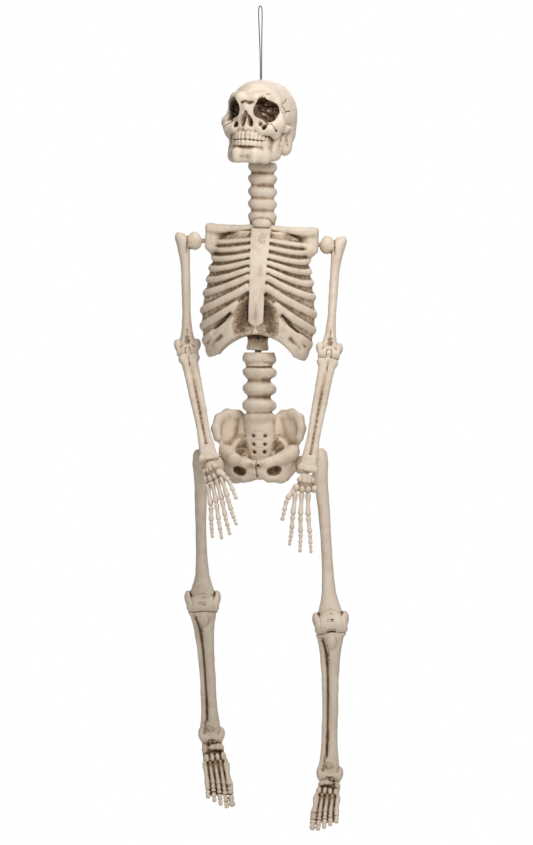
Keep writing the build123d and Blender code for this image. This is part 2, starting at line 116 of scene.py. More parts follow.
# ---- frames -------------------------------------------------------------------------------------
def turn(x=0, y=0, z=0):
    """Rotation about X, then Y, then Z, in degrees, as in the CAD model's frames."""
    rx, ry, rz = (Matrix.Rotation(math.radians(a), 4, axis) for a, axis in ((x, "X"), (y, "Y"), (z, "Z")))
    return rz @ ry @ rx


def joint_at(name):
    return Vector(JOINT[name]["pos_m"]) / MM


def down(forward, inward, side):
    """Unit vector down a limb that leans forward and towards the middle of the figure."""
    tilt, lean = math.radians(forward), math.radians(inward)
    return Vector((-side * math.sin(lean) * math.cos(tilt), -math.sin(tilt), -math.cos(lean) * math.cos(tilt)))


def limb_frame(at, along):
    """Frame with +Z up the limb, +X to the figure's left and +Y to its back."""
    up = -along.normalized()
    back = up.cross(Vector((1, 0, 0))).normalized()
    across = back.cross(up).normalized()
    columns = Matrix((across, back, up)).transposed().to_4x4()
    columns.translation = at
    return columns


# ---- clay: signed distances that shapes are added to and cut from -------------------------------
FAR = 5.0


def smooth_min(a, b, k):
    h = np.clip(0.5 + 0.5 * (b - a) / k, 0, 1)
    return b * (1 - h) + a * h - k * h * (1 - h)


def curve(at, knots, values):
    """Smooth curve through values at rising knots, level outside them."""
    knots, values = np.asarray(knots, float), np.asarray(values, float)
    slopes = np.gradient(values, knots)
    at = np.clip(at, knots[0], knots[-1])
    k = np.clip(np.searchsorted(knots, at, side="right") - 1, 0, len(knots) - 2)
    span = knots[k + 1] - knots[k]
    t = (at - knots[k]) / span
    a, b = values[k], values[k + 1]
    lift, drop = slopes[k] * span, slopes[k + 1] * span
    return a + t * (lift + t * (3 * (b - a) - 2 * lift - drop + t * (2 * (a - b) + lift + drop)))


def rough(x, y, z, size, seed):
    """Smooth noise from -1 to 1, in lumps about size mm across."""
    lattice = np.random.default_rng(seed).random((32, 32, 32), np.float32) * 2 - 1
    cells, parts = [], []
    for v in (x, y, z):
        low = np.floor(v / size)
        part = (v / size - low).astype(np.float32)
        cells.append(low.astype(int))
        parts.append(part * part * (3 - 2 * part))
    total = 0
    for i in (0, 1):
        for j in (0, 1):
            for k in (0, 1):
                weight = 1
                for part, far in zip(parts, (i, j, k)):
                    weight = weight * (part if far else 1 - part)
                place = [(c + far) % 32 for c, far in zip(cells, (i, j, k))]
                total = total + weight * lattice[place[0], place[1], place[2]]
    return total


def blob(centre, radii, tilt=None):
    """Ellipsoid."""
    spin = np.array((tilt or Matrix.Identity(4)).to_3x3().inverted())
    reach = max(radii)

    def distance(x, y, z):
        x, y, z = x - centre[0], y - centre[1], z - centre[2]
        if tilt is not None:
            x, y, z = (row[0] * x + row[1] * y + row[2] * z for row in spin)
        near = np.sqrt((x / radii[0]) ** 2 + (y / radii[1]) ** 2 + (z / radii[2]) ** 2)
        slope = np.sqrt((x / radii[0] ** 2) ** 2 + (y / radii[1] ** 2) ** 2 + (z / radii[2] ** 2) ** 2)
        return near * (near - 1) / np.maximum(slope, 1e-6)

    box = radii if tilt is None else (reach, reach, reach)
    return distance, [c - r for c, r in zip(centre, box)], [c + r for c, r in zip(centre, box)]


def bar(a, b, ra, rb=None):
    """Round-ended bar from a to b."""
    rb = ra if rb is None else rb
    a, b = [float(v) for v in a], [float(v) for v in b]
    way = [q - p for p, q in zip(a, b)]
    length2 = max(sum(v * v for v in way), 1e-6)

    def distance(x, y, z):
        x, y, z = x - a[0], y - a[1], z - a[2]
        t = np.clip((x * way[0] + y * way[1] + z * way[2]) / length2, 0, 1)
        gap = np.sqrt((x - t * way[0]) ** 2 + (y - t * way[1]) ** 2 + (z - t * way[2]) ** 2)
        return gap - (ra + (rb - ra) * t)

    r = max(ra, rb)
    return distance, [min(p, q) - r for p, q in zip(a, b)], [max(p, q) + r for p, q in zip(a, b)]


def brick(centre, half, tilt=None, soft=1.0):
    """Box with rounded edges."""
    spin = np.array((tilt or Matrix.Identity(4)).to_3x3().inverted())

    def distance(x, y, z):
        x, y, z = x - centre[0], y - centre[1], z - centre[2]
        if tilt is not None:
            x, y, z = (row[0] * x + row[1] * y + row[2] * z for row in spin)
        out = [np.abs(v) - h + soft for v, h in zip((x, y, z), half)]
        outside = np.sqrt(sum(np.maximum(v, 0) ** 2 for v in out))
        return outside + np.minimum(np.maximum(np.maximum(out[0], out[1]), out[2]), 0) - soft

    reach = half if tilt is None else [math.dist((0, 0, 0), half)] * 3
    return distance, [c - r for c, r in zip(centre, reach)], [c + r for c, r in zip(centre, reach)]


def drum(a, b, r, soft=0.5):
    """Flat-ended round rod from a to b."""
    a, b = Vector(a), Vector(b)
    way, middle, half = (b - a).normalized(), (a + b) / 2, (b - a).length / 2

    def distance(x, y, z):
        x, y, z = x - middle.x, y - middle.y, z - middle.z
        along = x * way.x + y * way.y + z * way.z
        out = np.sqrt(np.maximum(x * x + y * y + z * z - along * along, 0)) - r + soft
        end = np.abs(along) - half + soft
        outside = np.sqrt(np.maximum(out, 0) ** 2 + np.maximum(end, 0) ** 2)
        return outside + np.minimum(np.maximum(out, end), 0) - soft

    return distance, [min(p, q) - r for p, q in zip(a, b)], [max(p, q) + r for p, q in zip(a, b)]


def lofted(sections, soft=2.0):
    """Solid through ovals (height, half width, half depth, shift in X, shift in Y), from the top down."""
    rows = np.array(sections[::-1], float)

    def distance(x, y, z):
        wide, deep, dx, dy = (curve(z, rows[:, 0], rows[:, k]) for k in (1, 2, 3, 4))
        x, y = x - dx, y - dy
        near = np.sqrt((x / wide) ** 2 + (y / deep) ** 2) + 1e-6
        slope = np.sqrt((x / wide**2) ** 2 + (y / deep**2) ** 2) + 1e-6
        side = near * (near - 1) / slope
        return -smooth_min(-side, -np.maximum(rows[0, 0] - z, z - rows[-1, 0]), soft)

    reach_x = rows[:, 1].max() + np.abs(rows[:, 3]).max()
    reach_y = rows[:, 2].max() + np.abs(rows[:, 4]).max()
    return distance, (-reach_x, -reach_y, rows[0, 0]), (reach_x, reach_y, rows[-1, 0])


def line_gap(u, v, points):
    """Distance in a plane from (u, v) to a line through points."""
    best = None
    for (au, av), (bu, bv) in zip(points, points[1:]):
        wu, wv = bu - au, bv - av
        t = np.clip(((u - au) * wu + (v - av) * wv) / max(wu * wu + wv * wv, 1e-6), 0, 1)
        gap = (u - au - t * wu) ** 2 + (v - av - t * wv) ** 2
        best = gap if best is None else np.minimum(best, gap)
    return np.sqrt(best)


def outline_gap(u, v, corners):
    """Signed distance in a plane to a closed outline, negative inside."""
    gap = line_gap(u, v, [*corners, corners[0]])
    inside = np.zeros(np.broadcast(u, v).shape, bool)
    for (au, av), (bu, bv) in zip(corners, [*corners[1:], corners[0]]):
        if av != bv:
            crossing = (v >= min(av, bv)) & (v < max(av, bv))
            inside ^= crossing & (u < au + (v - av) * (bu - au) / (bv - av))
    return np.where(inside, -gap, gap)


class Clay:
    """A block of signed distances on a grid, in its own frame."""

    def __init__(self, name, low, high, step, place):
        self.name, self.place = name, place
        self.low = np.array(low, float)
        self.step = step * COARSE
        count = np.ceil((np.array(high, float) - self.low) / self.step).astype(int) + 1
        self.d = np.full(count, FAR, np.float32)
        self.stains = []

    def local(self, point):
        return tuple(self.place.inverted() @ Vector(point))

    def window(self, low, high, pad):
        cut, axes = [], []
        for k in range(3):
            start = max(0, int((low[k] - pad - self.low[k]) / self.step))
            stop = min(self.d.shape[k], int((high[k] + pad - self.low[k]) / self.step) + 2)
            cut.append(slice(start, max(start, stop)))
            axes.append((self.low[k] + self.step * np.arange(start, max(start, stop))).astype(np.float32))
        return tuple(cut), np.ix_(*axes)

    def add(self, shape, blend=2.0):
        cut, place = self.window(shape[1], shape[2], blend + 2 * self.step)
        self.d[cut] = smooth_min(self.d[cut], shape[0](*place), blend)

    def cut(self, shape, blend=0.6):
        cut, place = self.window(shape[1], shape[2], blend + 2 * self.step)
        self.d[cut] = -smooth_min(-self.d[cut], shape[0](*place), blend)

    def chain(self, points, radii, blend=2.0):
        for a, b, ra, rb in zip(points, points[1:], radii, radii[1:]):
            self.add(bar(a, b, ra, rb), blend)

    def press(self, height, low, high):
        """Sinks the surface by height(x, y, z) mm inside a box; below zero it raises it."""
        cut, place = self.window(low, high, 0)
        self.d[cut] += height(*place).astype(np.float32)

    def score(self, points, width, depth, facing="front", limit=0.0):
        """Groove along a line drawn on the clay from one side. A negative depth leaves a ridge."""
        seen = {
            "front": lambda x, y, z: (x, z, y < limit),
            "back": lambda x, y, z: (x, z, y > limit),
            "left": lambda x, y, z: (y, z, x > limit),
            "right": lambda x, y, z: (y, z, x < limit),
        }[facing]
        us, vs = [p[0] for p in points], [p[1] for p in points]
        span = ((min(us) - 3 * width, max(us) + 3 * width), (min(vs) - 3 * width, max(vs) + 3 * width))
        low, high = self.low.copy(), self.low + self.step * np.array(self.d.shape)
        axis = 0 if facing in ("front", "back") else 1
        low[axis], high[axis] = span[0]
        low[2], high[2] = span[1]

        def height(x, y, z):
            u, v, near = seen(x, y, z)
            return depth * np.exp(-((line_gap(u, v, points) / width) ** 2)) * near

        self.press(height, low, high)

    def pit(self, shape, depth, size=2.2, seed=1):
        """Stippled, pitted skin inside a shape, which also takes the dark brown antiquing."""
        distance, low, high = shape

        def height(x, y, z):
            mask = np.clip(-distance(x, y, z) / 1.5, 0, 1)
            return depth * mask * (0.35 + rough(x, y, z, size, seed))

        self.press(height, low, high)
        self.stain(shape, 0.16)

    def stain(self, shape, amount, soft=1.5):
        """Dark brown antiquing inside a shape, fading out over its soft skin."""
        self.stains.append((shape, amount, soft))

    def cavity(self, cells):
        """How hollow the clay is round each grid point, from a blurred copy."""
        flat = np.clip(self.d, -cells * self.step, cells * self.step)
        for axis in range(3):
            for _ in range(2):
                margins = [(cells + 1, cells) if k == axis else (0, 0) for k in range(3)]
                run = np.cumsum(np.pad(flat, margins, "edge"), axis=axis, dtype=np.float64)
                width = 2 * cells + 1
                upper = np.take(run, range(width, run.shape[axis]), axis=axis)
                lower = np.take(run, range(0, run.shape[axis] - width), axis=axis)
                flat = ((upper - lower) / width).astype(np.float32)
        return -flat / self.step

    def piece(self, body, material, falloff_shade=0.0):
        """Meshes the clay into a piece that rides a body and stands for the CAD node of its name. Its last argument is
        painted shade that darkens the whole piece, for light falling off down the figure.
        """
        points, quads = surface(self.d)
        points, quads = largest_shell(points, quads)
        fine, broad = (sample(self.cavity(c), points) for c in (2, 5))
        place = points * self.step + self.low
        # Per-point darkness: brown antiquing in the hollows, from the cavities, plus the painted shade of the last
        # argument, standing in for light falling off down the figure.
        wash_and_shade = falloff_shade + 0.75 * fine + 0.15 * broad
        for (distance, low, high), amount, soft in self.stains:
            hit = np.all((place > np.array(low) - 1) & (place < np.array(high) + 1), axis=1)
            wash_and_shade[hit] += amount * np.clip(-distance(*place[hit].T) / soft + 0.4, 0, 1)
        matrix = np.array(self.place)
        world = (place @ matrix[:3, :3].T + matrix[:3, 3]) * MM
        obj = mesh_object(self.name + "_bone", world, quads)
        attribute = obj.data.attributes.new("wash_and_shade", "FLOAT", "POINT")
        attribute.data.foreach_set("value", np.clip(wash_and_shade, 0, 1).astype(np.float32))
        obj.data.materials.append(material)
        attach(obj, body)
        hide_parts(self.name)
        return obj


def surface(d):
    """Quads over the zero surface, with one point in each cell that the surface crosses."""
    inside = d < 0
    nx, ny, nz = (n - 1 for n in d.shape)
    corners = [(i, j, k) for i in (0, 1) for j in (0, 1) for k in (0, 1)]
    count = sum(inside[i : i + nx, j : j + ny, k : k + nz].astype(np.int8) for i, j, k in corners)
    crossed = (count > 0) & (count < 8)
    cells = np.argwhere(crossed)
    index = np.full(crossed.shape, -1, np.int64)
    index[crossed] = np.arange(len(cells))
    value = {c: d[cells[:, 0] + c[0], cells[:, 1] + c[1], cells[:, 2] + c[2]] for c in corners}
    total, hits = np.zeros((len(cells), 3)), np.zeros(len(cells))
    for c in corners:
        for axis in range(3):
            if c[axis] == 0:
                other = tuple(1 if k == axis else c[k] for k in range(3))
                a, b = value[c], value[other]
                hit = (a < 0) != (b < 0)
                t = np.where(hit, a / np.where(hit, a - b, 1), 0)
                point = np.array(c, float) * hit[:, None]
                point[:, axis] += t * hit
                total += point
                hits += hit
    points = cells + total / hits[:, None]
    quads = []
    for axis in range(3):
        u, v = (axis + 1) % 3, (axis + 2) % 3
        first, second = [slice(None)] * 3, [slice(None)] * 3
        first[axis], second[axis] = slice(0, -1), slice(1, None)
        starts_in = inside[tuple(first)]
        edges = np.argwhere(starts_in != inside[tuple(second)])
        limit = np.array(crossed.shape)
        edges = edges[(edges[:, u] > 0) & (edges[:, v] > 0) & (edges[:, u] < limit[u]) & (edges[:, v] < limit[v])]
        step_u, step_v = np.eye(3, dtype=int)[u], np.eye(3, dtype=int)[v]
        ring = [edges, edges - step_u, edges - step_u - step_v, edges - step_v]
        quad = np.stack([index[tuple(r.T)] for r in ring], 1)
        flip = ~starts_in[tuple(edges.T)]
        quad[flip] = quad[flip][:, ::-1]
        quads.append(quad)
    quads = np.concatenate(quads)
    return points, quads[:, ::-1][:, [3, 2, 1, 0]]


def largest_shell(points, quads):
    """Keeps the biggest connected part of a mesh, so no loose crumbs or sealed bubbles are left."""
    label = np.arange(len(points))
    a, b = quads[:, [0, 1, 2, 3]].ravel(), quads[:, [1, 2, 3, 0]].ravel()
    while True:
        low = np.minimum(label[a], label[b])
        fresh = label.copy()
        np.minimum.at(fresh, label[a], low)
        np.minimum.at(fresh, label[b], low)
        fresh = fresh[fresh[fresh]]
        if np.array_equal(fresh, label):
            break
        label = fresh
    names, counts = np.unique(label, return_counts=True)
    kept = label == names[counts.argmax()]
    renumber = np.cumsum(kept) - 1
    return points[kept], renumber[quads[kept[quads[:, 0]]]]


def sample(field, points):
    """Values of a grid at points between its nodes."""
    low = np.clip(np.floor(points).astype(int), 0, np.array(field.shape) - 2)
    part = points - low
    total = 0
    for i in (0, 1):
        for j in (0, 1):
            for k in (0, 1):
                weight = np.abs(1 - i - part[:, 0]) * np.abs(1 - j - part[:, 1]) * np.abs(1 - k - part[:, 2])
                total = total + weight * field[low[:, 0] + i, low[:, 1] + j, low[:, 2] + k]
    return total


def mesh_object(name, points, quads):
    mesh = bpy.data.meshes.new(name)
    mesh.vertices.add(len(points))
    mesh.vertices.foreach_set("co", points.astype(np.float32).ravel())
    mesh.loops.add(quads.size)
    mesh.loops.foreach_set("vertex_index", quads.astype(np.int32).ravel())
    mesh.polygons.add(len(quads))
    mesh.polygons.foreach_set("loop_start", np.arange(0, quads.size, 4, dtype=np.int32))
    mesh.polygons.foreach_set("use_smooth", np.ones(len(quads), bool))
    mesh.update(calc_edges=True)
    mesh.validate()
    obj = bpy.data.objects.new(name, mesh)
    bpy.context.scene.collection.objects.link(obj)
    return obj


# ---- materials ----------------------------------------------------------------------------------
def srgb(r, g, b):
    def linear(c):
        c /= 255
        return c / 12.92 if c <= 0.04045 else ((c + 0.055) / 1.055) ** 2.4

    return (linear(r), linear(g), linear(b), 1)


def new_material(name):
    material = bpy.data.materials.new(name)
    material.use_nodes = True
    tree = material.node_tree
    shader = next(n for n in tree.nodes if n.type == "BSDF_PRINCIPLED")
    return material, tree, shader


def noise(tree, coordinates, scale, detail=3.0, roughness=0.55):
    node = tree.nodes.new("ShaderNodeTexNoise")
    node.inputs["Scale"].default_value = scale
    node.inputs["Detail"].default_value = detail
    node.inputs["Roughness"].default_value = roughness
    tree.links.new(coordinates, node.inputs["Vector"])
    return node.outputs["Fac"]


def calc(tree, operation, a, b, c=None):
    node = tree.nodes.new("ShaderNodeMath")
    node.operation = operation
    for socket, value in zip(node.inputs, (a, b, c)):
        if isinstance(value, (int, float)):
            socket.default_value = value
        elif value is not None:
            tree.links.new(value, socket)
    return node.outputs[0]


def ramp(tree, value, stops):
    node = tree.nodes.new("ShaderNodeValToRGB")
    elements = node.color_ramp.elements
    while len(elements) < len(stops):
        elements.new(0.5)
    for element, (position, color) in zip(elements, stops):
        element.position, element.color = position, color
    tree.links.new(value, node.inputs["Fac"])
    return node.outputs["Color"]


def antiqued(name, light, tan, brown, dark, shade_offset=0.0):
    """Cream plastic with brown antiquing that stays in its hollows and is rubbed off its high places. The per-point
    darkness it reads also holds painted shade for light falling off down the figure, and the last argument is a painted
    shade offset, which paints light when below zero.
    """
    material, tree, shader = new_material(name)
    object_place = tree.nodes.new("ShaderNodeTexCoord").outputs["Object"]
    # Reads the per-point darkness: brown antiquing in the hollows plus painted shade for light falling off down the
    # figure.
    wash_node = tree.nodes.new("ShaderNodeAttribute")
    wash_node.attribute_name = "wash_and_shade"
    wash_and_shade = wash_node.outputs["Fac"]
    mottle = noise(tree, object_place, 45, 4)
    speck = noise(tree, object_place, 620, 3, 0.7)
    streak = noise(tree, object_place, 150, 3, 0.6)
    # Mottled tone, plus the painted shade offset of the last argument; below zero it paints light.
    mottle_and_shade = calc(tree, "MULTIPLY_ADD", mottle, 0.34, shade_offset - 0.13)
    grain = calc(tree, "MULTIPLY_ADD", speck, 0.9, -0.45)
    brushed = calc(tree, "MULTIPLY_ADD", streak, 0.2, -0.1)
    rubbed = calc(tree, "MULTIPLY", grain, calc(tree, "MULTIPLY_ADD", wash_and_shade, 1.3, 0.14))
    amount = calc(tree, "ADD", calc(tree, "ADD", calc(tree, "ADD", wash_and_shade, mottle_and_shade), rubbed), brushed)
    color = ramp(tree, amount, [(0.0, light), (0.24, tan), (0.56, brown), (1.0, dark)])
    tree.links.new(color, shader.inputs["Base Color"])
    rough_value = calc(tree, "MULTIPLY_ADD", amount, 0.3, 0.5)
    tree.links.new(rough_value, shader.inputs["Roughness"])
    shader.inputs["Specular IOR Level"].default_value = 0.35
    pores = tree.nodes.new("ShaderNodeTexVoronoi")
    pores.inputs["Scale"].default_value = 520
    tree.links.new(object_place, pores.inputs["Vector"])
    pitted = calc(tree, "MULTIPLY", pores.outputs["Distance"], calc(tree, "MULTIPLY_ADD", wash_and_shade, 1.2, 0.12))
    relief = calc(tree, "ADD", pitted, calc(tree, "MULTIPLY", speck, 0.35))
    bump = tree.nodes.new("ShaderNodeBump")
    bump.inputs["Strength"].default_value = 0.55
    bump.inputs["Distance"].default_value = 0.0006
    tree.links.new(relief, bump.inputs["Height"])
    tree.links.new(bump.outputs["Normal"], shader.inputs["Normal"])
    return material


def moulded(name, light, dark, scale, roughness, relief=0.3):
    """Plain moulded plastic or cord with mottled colour and a fine grain."""
    material, tree, shader = new_material(name)
    object_place = tree.nodes.new("ShaderNodeTexCoord").outputs["Object"]
    broad = noise(tree, object_place, scale, 4)
    fine = noise(tree, object_place, scale * 9, 3, 0.7)
    amount = calc(tree, "MULTIPLY_ADD", fine, 0.4, calc(tree, "MULTIPLY", broad, 0.7))
    tree.links.new(ramp(tree, amount, [(0.3, light), (0.8, dark)]), shader.inputs["Base Color"])
    tree.links.new(calc(tree, "MULTIPLY_ADD", fine, 0.2, roughness), shader.inputs["Roughness"])
    bump = tree.nodes.new("ShaderNodeBump")
    bump.inputs["Strength"].default_value = relief
    bump.inputs["Distance"].default_value = 0.0003
    tree.links.new(fine, bump.inputs["Height"])
    tree.links.new(bump.outputs["Normal"], shader.inputs["Normal"])
    return material


CREAM = srgb(237, 221, 202)
TAN = srgb(200, 178, 152)
BROWN = srgb(128, 104, 80)
DARK = srgb(46, 33, 21)


# ---- shapes that several bones share ------------------------------------------------------------
def seat(clay, ball_at, stem_way, hinge, low, high, size, reach):
    """Socket for a peg's ball, with the slot that its stem leans in, as in the CAD model."""
    ball_r, stem_r = size
    at = Vector(clay.local(ball_at))
    spin = clay.place.to_3x3().inverted()
    way, axis = (spin @ Vector(stem_way)).normalized(), (spin @ Vector(hinge)).normalized()
    clay.cut(blob(at, [ball_r + GAP] * 3), 0.3)
    steps = max(2, round((high - low) / 8))
    for k in range(steps + 1):
        lean = Matrix.Rotation(math.radians(low + (high - low) * k / steps), 3, axis)
        clay.cut(drum(at, at + lean @ way * reach, stem_r + 0.6), 0.3)


def stem_bore(clay, ball_at, stem_way, size, length):
    at = Vector(clay.local(ball_at))
    way = clay.place.to_3x3().inverted() @ Vector(stem_way)
    clay.cut(drum(at, at + way.normalized() * length, size[1] + 0.2), 0.2)


def slot_for_tongue(clay, centre, hinge, joint_name, stalk_way):
    """Slot through a knuckle for the next bone's disc, opened wherever the stalk below it swings."""
    half = hinge["tongue"] / 2 + GAP
    disc = hinge["knuckle"] - 1.6
    joint = JOINT[joint_name]
    centre, axis = Vector(centre), Vector((1, 0, 0))
    clay.cut(drum(centre - axis * half, centre + axis * half, disc + GAP, 0.3), 0.3)
    to_clay = clay.place.to_3x3().inverted()
    low, high = joint["range_deg"]
    steps = max(2, round((high - low) / 10))
    for k in range(steps + 1):
        swing = Matrix.Rotation(math.radians(low + (high - low) * k / steps), 3, Vector(joint["axis"]))
        way = (to_clay @ (swing @ Vector(stalk_way))).normalized()
        tilt = turn(x=math.degrees(math.atan2(way.y, -way.z)))
        middle = centre + tilt.to_3x3() @ Vector((0, 0, -1.5 * disc))
        clay.cut(brick(middle, (half, 0.65 * disc + 0.6, 1.5 * disc), tilt, 0.3), 0.3)


# ---- skull --------------------------------------------------------------------------------------
SKULL_YAW, SKULL_ROLL = -21, 3
TOOTH_EDGES = [0.8, 13.5, 25.5, 37.0, 48.0, 58.5, 69.0, 79.5]  # degrees round the arch
JAW_ARCH = {"centre": -30.0, "wide": 22.8, "deep": 30.5}


def arch_at(degrees):
    """Point of the tooth row at an angle round the arch, and its heading in degrees."""
    t = math.radians(degrees)
    wide, deep = JAW_ARCH["wide"], JAW_ARCH["deep"]
    heading = math.degrees(math.atan2(deep * math.sin(t), wide * math.cos(t)))
    return wide * math.sin(t), JAW_ARCH["centre"] - deep * math.cos(t), heading


def add_teeth(clay):
    for s in (-1, 1):
        for inner, outer in zip(TOOTH_EDGES, TOOTH_EDGES[1:]):
            x, y, heading = arch_at(s * (inner + outer) / 2)
            ends = [Vector(arch_at(s * edge)[:2]) for edge in (inner, outer)]
            half = (ends[1] - ends[0]).length / 2 + 0.1
            bite = 13.8 - 0.06 * abs(x)
            tilt = turn(z=heading)
            clay.add(brick((x, y, bite + 4.7), (half, 2.5, 4.5), tilt, 1.9), 0.4)
            clay.add(brick((x * 0.985, y + 0.6, bite - 3.9), (half * 0.96, 2.3, 3.6), tilt, 1.8), 0.4)
            clay.add(bar((x * 0.97, y + 3.2, bite + 9), (x * 0.92, y + 4.4, bite + 15), 2.4, 1.2), 3)
            clay.stain(brick((x, y - 1, bite), (half, 3, 1.4), tilt, 0.5), 0.1)


def sculpt_skull(material):
    place = Matrix.Translation(joint_at("head_nod")) @ turn(z=SKULL_YAW) @ turn(y=SKULL_ROLL)
    clay = Clay("skull", (-47, -69, -18), (47, 49, 89), 0.72, place)
    clay.add(blob((0, -20, 48), (33.6, 43.5, 37.4)), 1)
    clay.add(blob((0, 4, 45.5), (37.6, 40, 39.6)), 9)
    clay.add(blob((0, 12, 23), (33.5, 29.5, 25.5)), 9)
    clay.add(blob((0, -38, 30), (22, 19, 22)), 6)
    for s in (-1, 1):
        clay.cut(blob((s * 43, -30, 55), (9, 15, 14)), 8)
        brow = [(s * 2, -57, 59), (s * 10, -56, 62.5), (s * 19, -48, 62.5), (s * 27, -33, 57), (s * 30.5, -28, 47)]
        clay.chain(brow, (4.2, 5.0, 5.0, 4.6, 4.0), 7)
        cheek = [(s * 31, -28, 46), (s * 33, -36, 34), (s * 26, -46, 28), (s * 17, -51, 26)]
        clay.chain(cheek, (4.0, 5.4, 7.0, 6.6), 6)
        clay.add(blob((s * 29.5, -35, 24), (6.4, 9, 10)), 5)
        clay.chain([(s * 33, -36, 31), (s * 36.5, -24, 28), (s * 36, -6, 28)], (5.4, 4.0, 3.6), 4)
        clay.add(blob((s * 27, 4, 7), (8, 10, 10.5)), 7)
        clay.chain([(s * 11, -55.5, -3), (s * 20, -43, -3.5), (s * 26.5, -25, -3)], (6.4, 6.2, 6.2), 4)
        clay.chain([(s * 11, -55.5, -8.4), (s * 20, -43, -8.4), (s * 25.5, -27, -5)], (5.7, 5.5, 5.4), 4)
        clay.chain([(s * 26.5, -25, 0), (s * 28, -18, 12), (s * 29.5, -14, 24)], (6.2, 5.8, 5.2), 4)
        clay.chain([(s * 25.5, -32, 2), (s * 27, -28, 14), (s * 29, -27, 24)], (5.6, 4.6, 4.2), 4)
        clay.add(blob((s * 18.5, -38, 8), (6, 11, 13)), 4)
    clay.add(brick((0, -54, -6), (14.5, 6.4, 8.2), None, 4.0), 3)
    clay.add(brick((0, -40, 6), (17, 15, 16), None, 8), 4)
    clay.chain([(0, -54, 60), (0, -58.5, 54), (0, -60.8, 51)], (4.0, 3.4, 2.6), 5)
    clay.cut(blob((0, -36, -16), (13, 12, 8)), 3)
    for s in (-1, 1):
        clay.cut(blob((s * 40, -7, 12), (9, 8, 11)), 4)
        clay.cut(blob((s * 37, -24, 16), (5, 6, 5)), 3)

    add_teeth(clay)
    for s in (-1, 1):
        tilt = turn(y=s * 22, z=s * 20)
        clay.cut(brick((s * 19.6, -46, 49.5), (14.6, 17, 12.4), tilt, 8.5), 1.4)
        clay.cut(blob((s * 14, -46, 51), (10, 16, 8.5), turn(z=s * 8)), 2)
        clay.cut(blob((s * 3.9, -58, 36.8), (3.9, 9, 8.4), turn(y=-s * 16)), 0.8)
        clay.pit(blob((s * 19, -34, 49), (15, 17, 12), tilt), 0.9, 2.6, seed=7)
        clay.stain(brick((s * 19.6, -44, 49.5), (15.4, 17.5, 13.2), tilt, 8.5), 0.42, 1.6)
    clay.cut(blob((0, -58, 43.5), (3.2, 9, 6.4)), 1.2)
    clay.stain(blob((0, -55, 38), (8, 7, 11)), 0.3, 1.6)
    clay.add(bar((0, -55, 42), (0, -60.2, 27), 1.0, 1.2), 0.6)
    clay.add(blob((0, -60.4, 27), (2.4, 2.6, 3)), 1.5)

    for x, y, z, r in ((-14.5, -56, 31, 2.6), (17.5, -55, 34, 2.8), (21.5, -53, 29, 3.0)):
        clay.cut(blob((x, y, z), (r, 3.4, r * 1.5), turn(y=24)), 2.2)
    clay.stain(blob((20, -52, 31), (6, 7, 7), turn(y=20)), 0.3, 4)
    clay.stain(blob((-14.5, -55, 31), (4, 7, 6)), 0.3, 3)
    clay.score([(-6, 57.5), (-1, 59), (4, 57.4), (8, 58.5)], 2.2, 1.6)
    clay.stain(blob((1, -60, 58), (9, 9, 4)), 0.4, 3.0)
    clay.score([(14, 61.5), (17.5, 65.5), (21.5, 68.5), (20.5, 65), (17, 62.5)], 0.9, 1.6)
    clay.score([(19, 36.5), (24, 33), (28.5, 33.4), (32.5, 29.5), (33.5, 25)], 0.9, 1.6)
    clay.score([(-20, 35), (-26, 31), (-33, 26)], 1.0, 1.6)
    clay.score([(-12.5, 63.5), (-20.5, 58.3), (-29, 54)], 0.8, 1.3, "left")
    clay.score([(-29, 54), (-22.5, 55.4), (-16, 48.8), (-8.5, 49.6)], 0.9, 1.6, "left")
    clay.score([(-16, 48.8), (-20.5, 42.4), (-24, 40.2)], 0.8, 1.4, "left")
    for side in ("left", "right"):
        clay.score([(-31, 47.5), (-29, 46.8), (-24, 38), (-12, 30), (-2, 24)], 1.0, 1.5, side)
        for k in range(4):
            clay.score([(-22 + 2 * k, 8 - 3 * k), (-17 + 2 * k, 6 - 3 * k)], 0.7, 0.6, side)
        clay.score([(4, 83), (18, 78), (30, 66), (36, 52)], 0.9, 0.4, side)
    clay.pit(blob((3, -59, -9), (12, 6, 5)), 0.35, 1.6, seed=3)
    for s in (-1, 1):
        clay.pit(blob((s * 37, -7, 11), (10, 8, 11)), 0.8, 2.4, seed=4)
    clay.press(lambda x, y, z: 0.35 * rough(x, y, z, 9, 5), clay.low, clay.low + clay.step * np.array(clay.d.shape))

    neck_ball = joint_at("head_nod")
    clay.add(drum((0, 0, -6.8), (0, 0, 20), 10.6, 1.2), 2)
    nod = Vector(JOINT["head_nod"]["axis"])
    seat(clay, neck_ball, (0, 0, -1), nod, -14, 14, BALL["neck"], 30)
    clay.cut(drum(clay.local((0, 0, -100)), clay.local((0, 0, -80)), 1.9), 0.3)
    clay.cut(drum(clay.local((0, 0, -98)), clay.local((0, 0, -91.2)), 6.2), 0.3)
    return clay.piece("head", material)


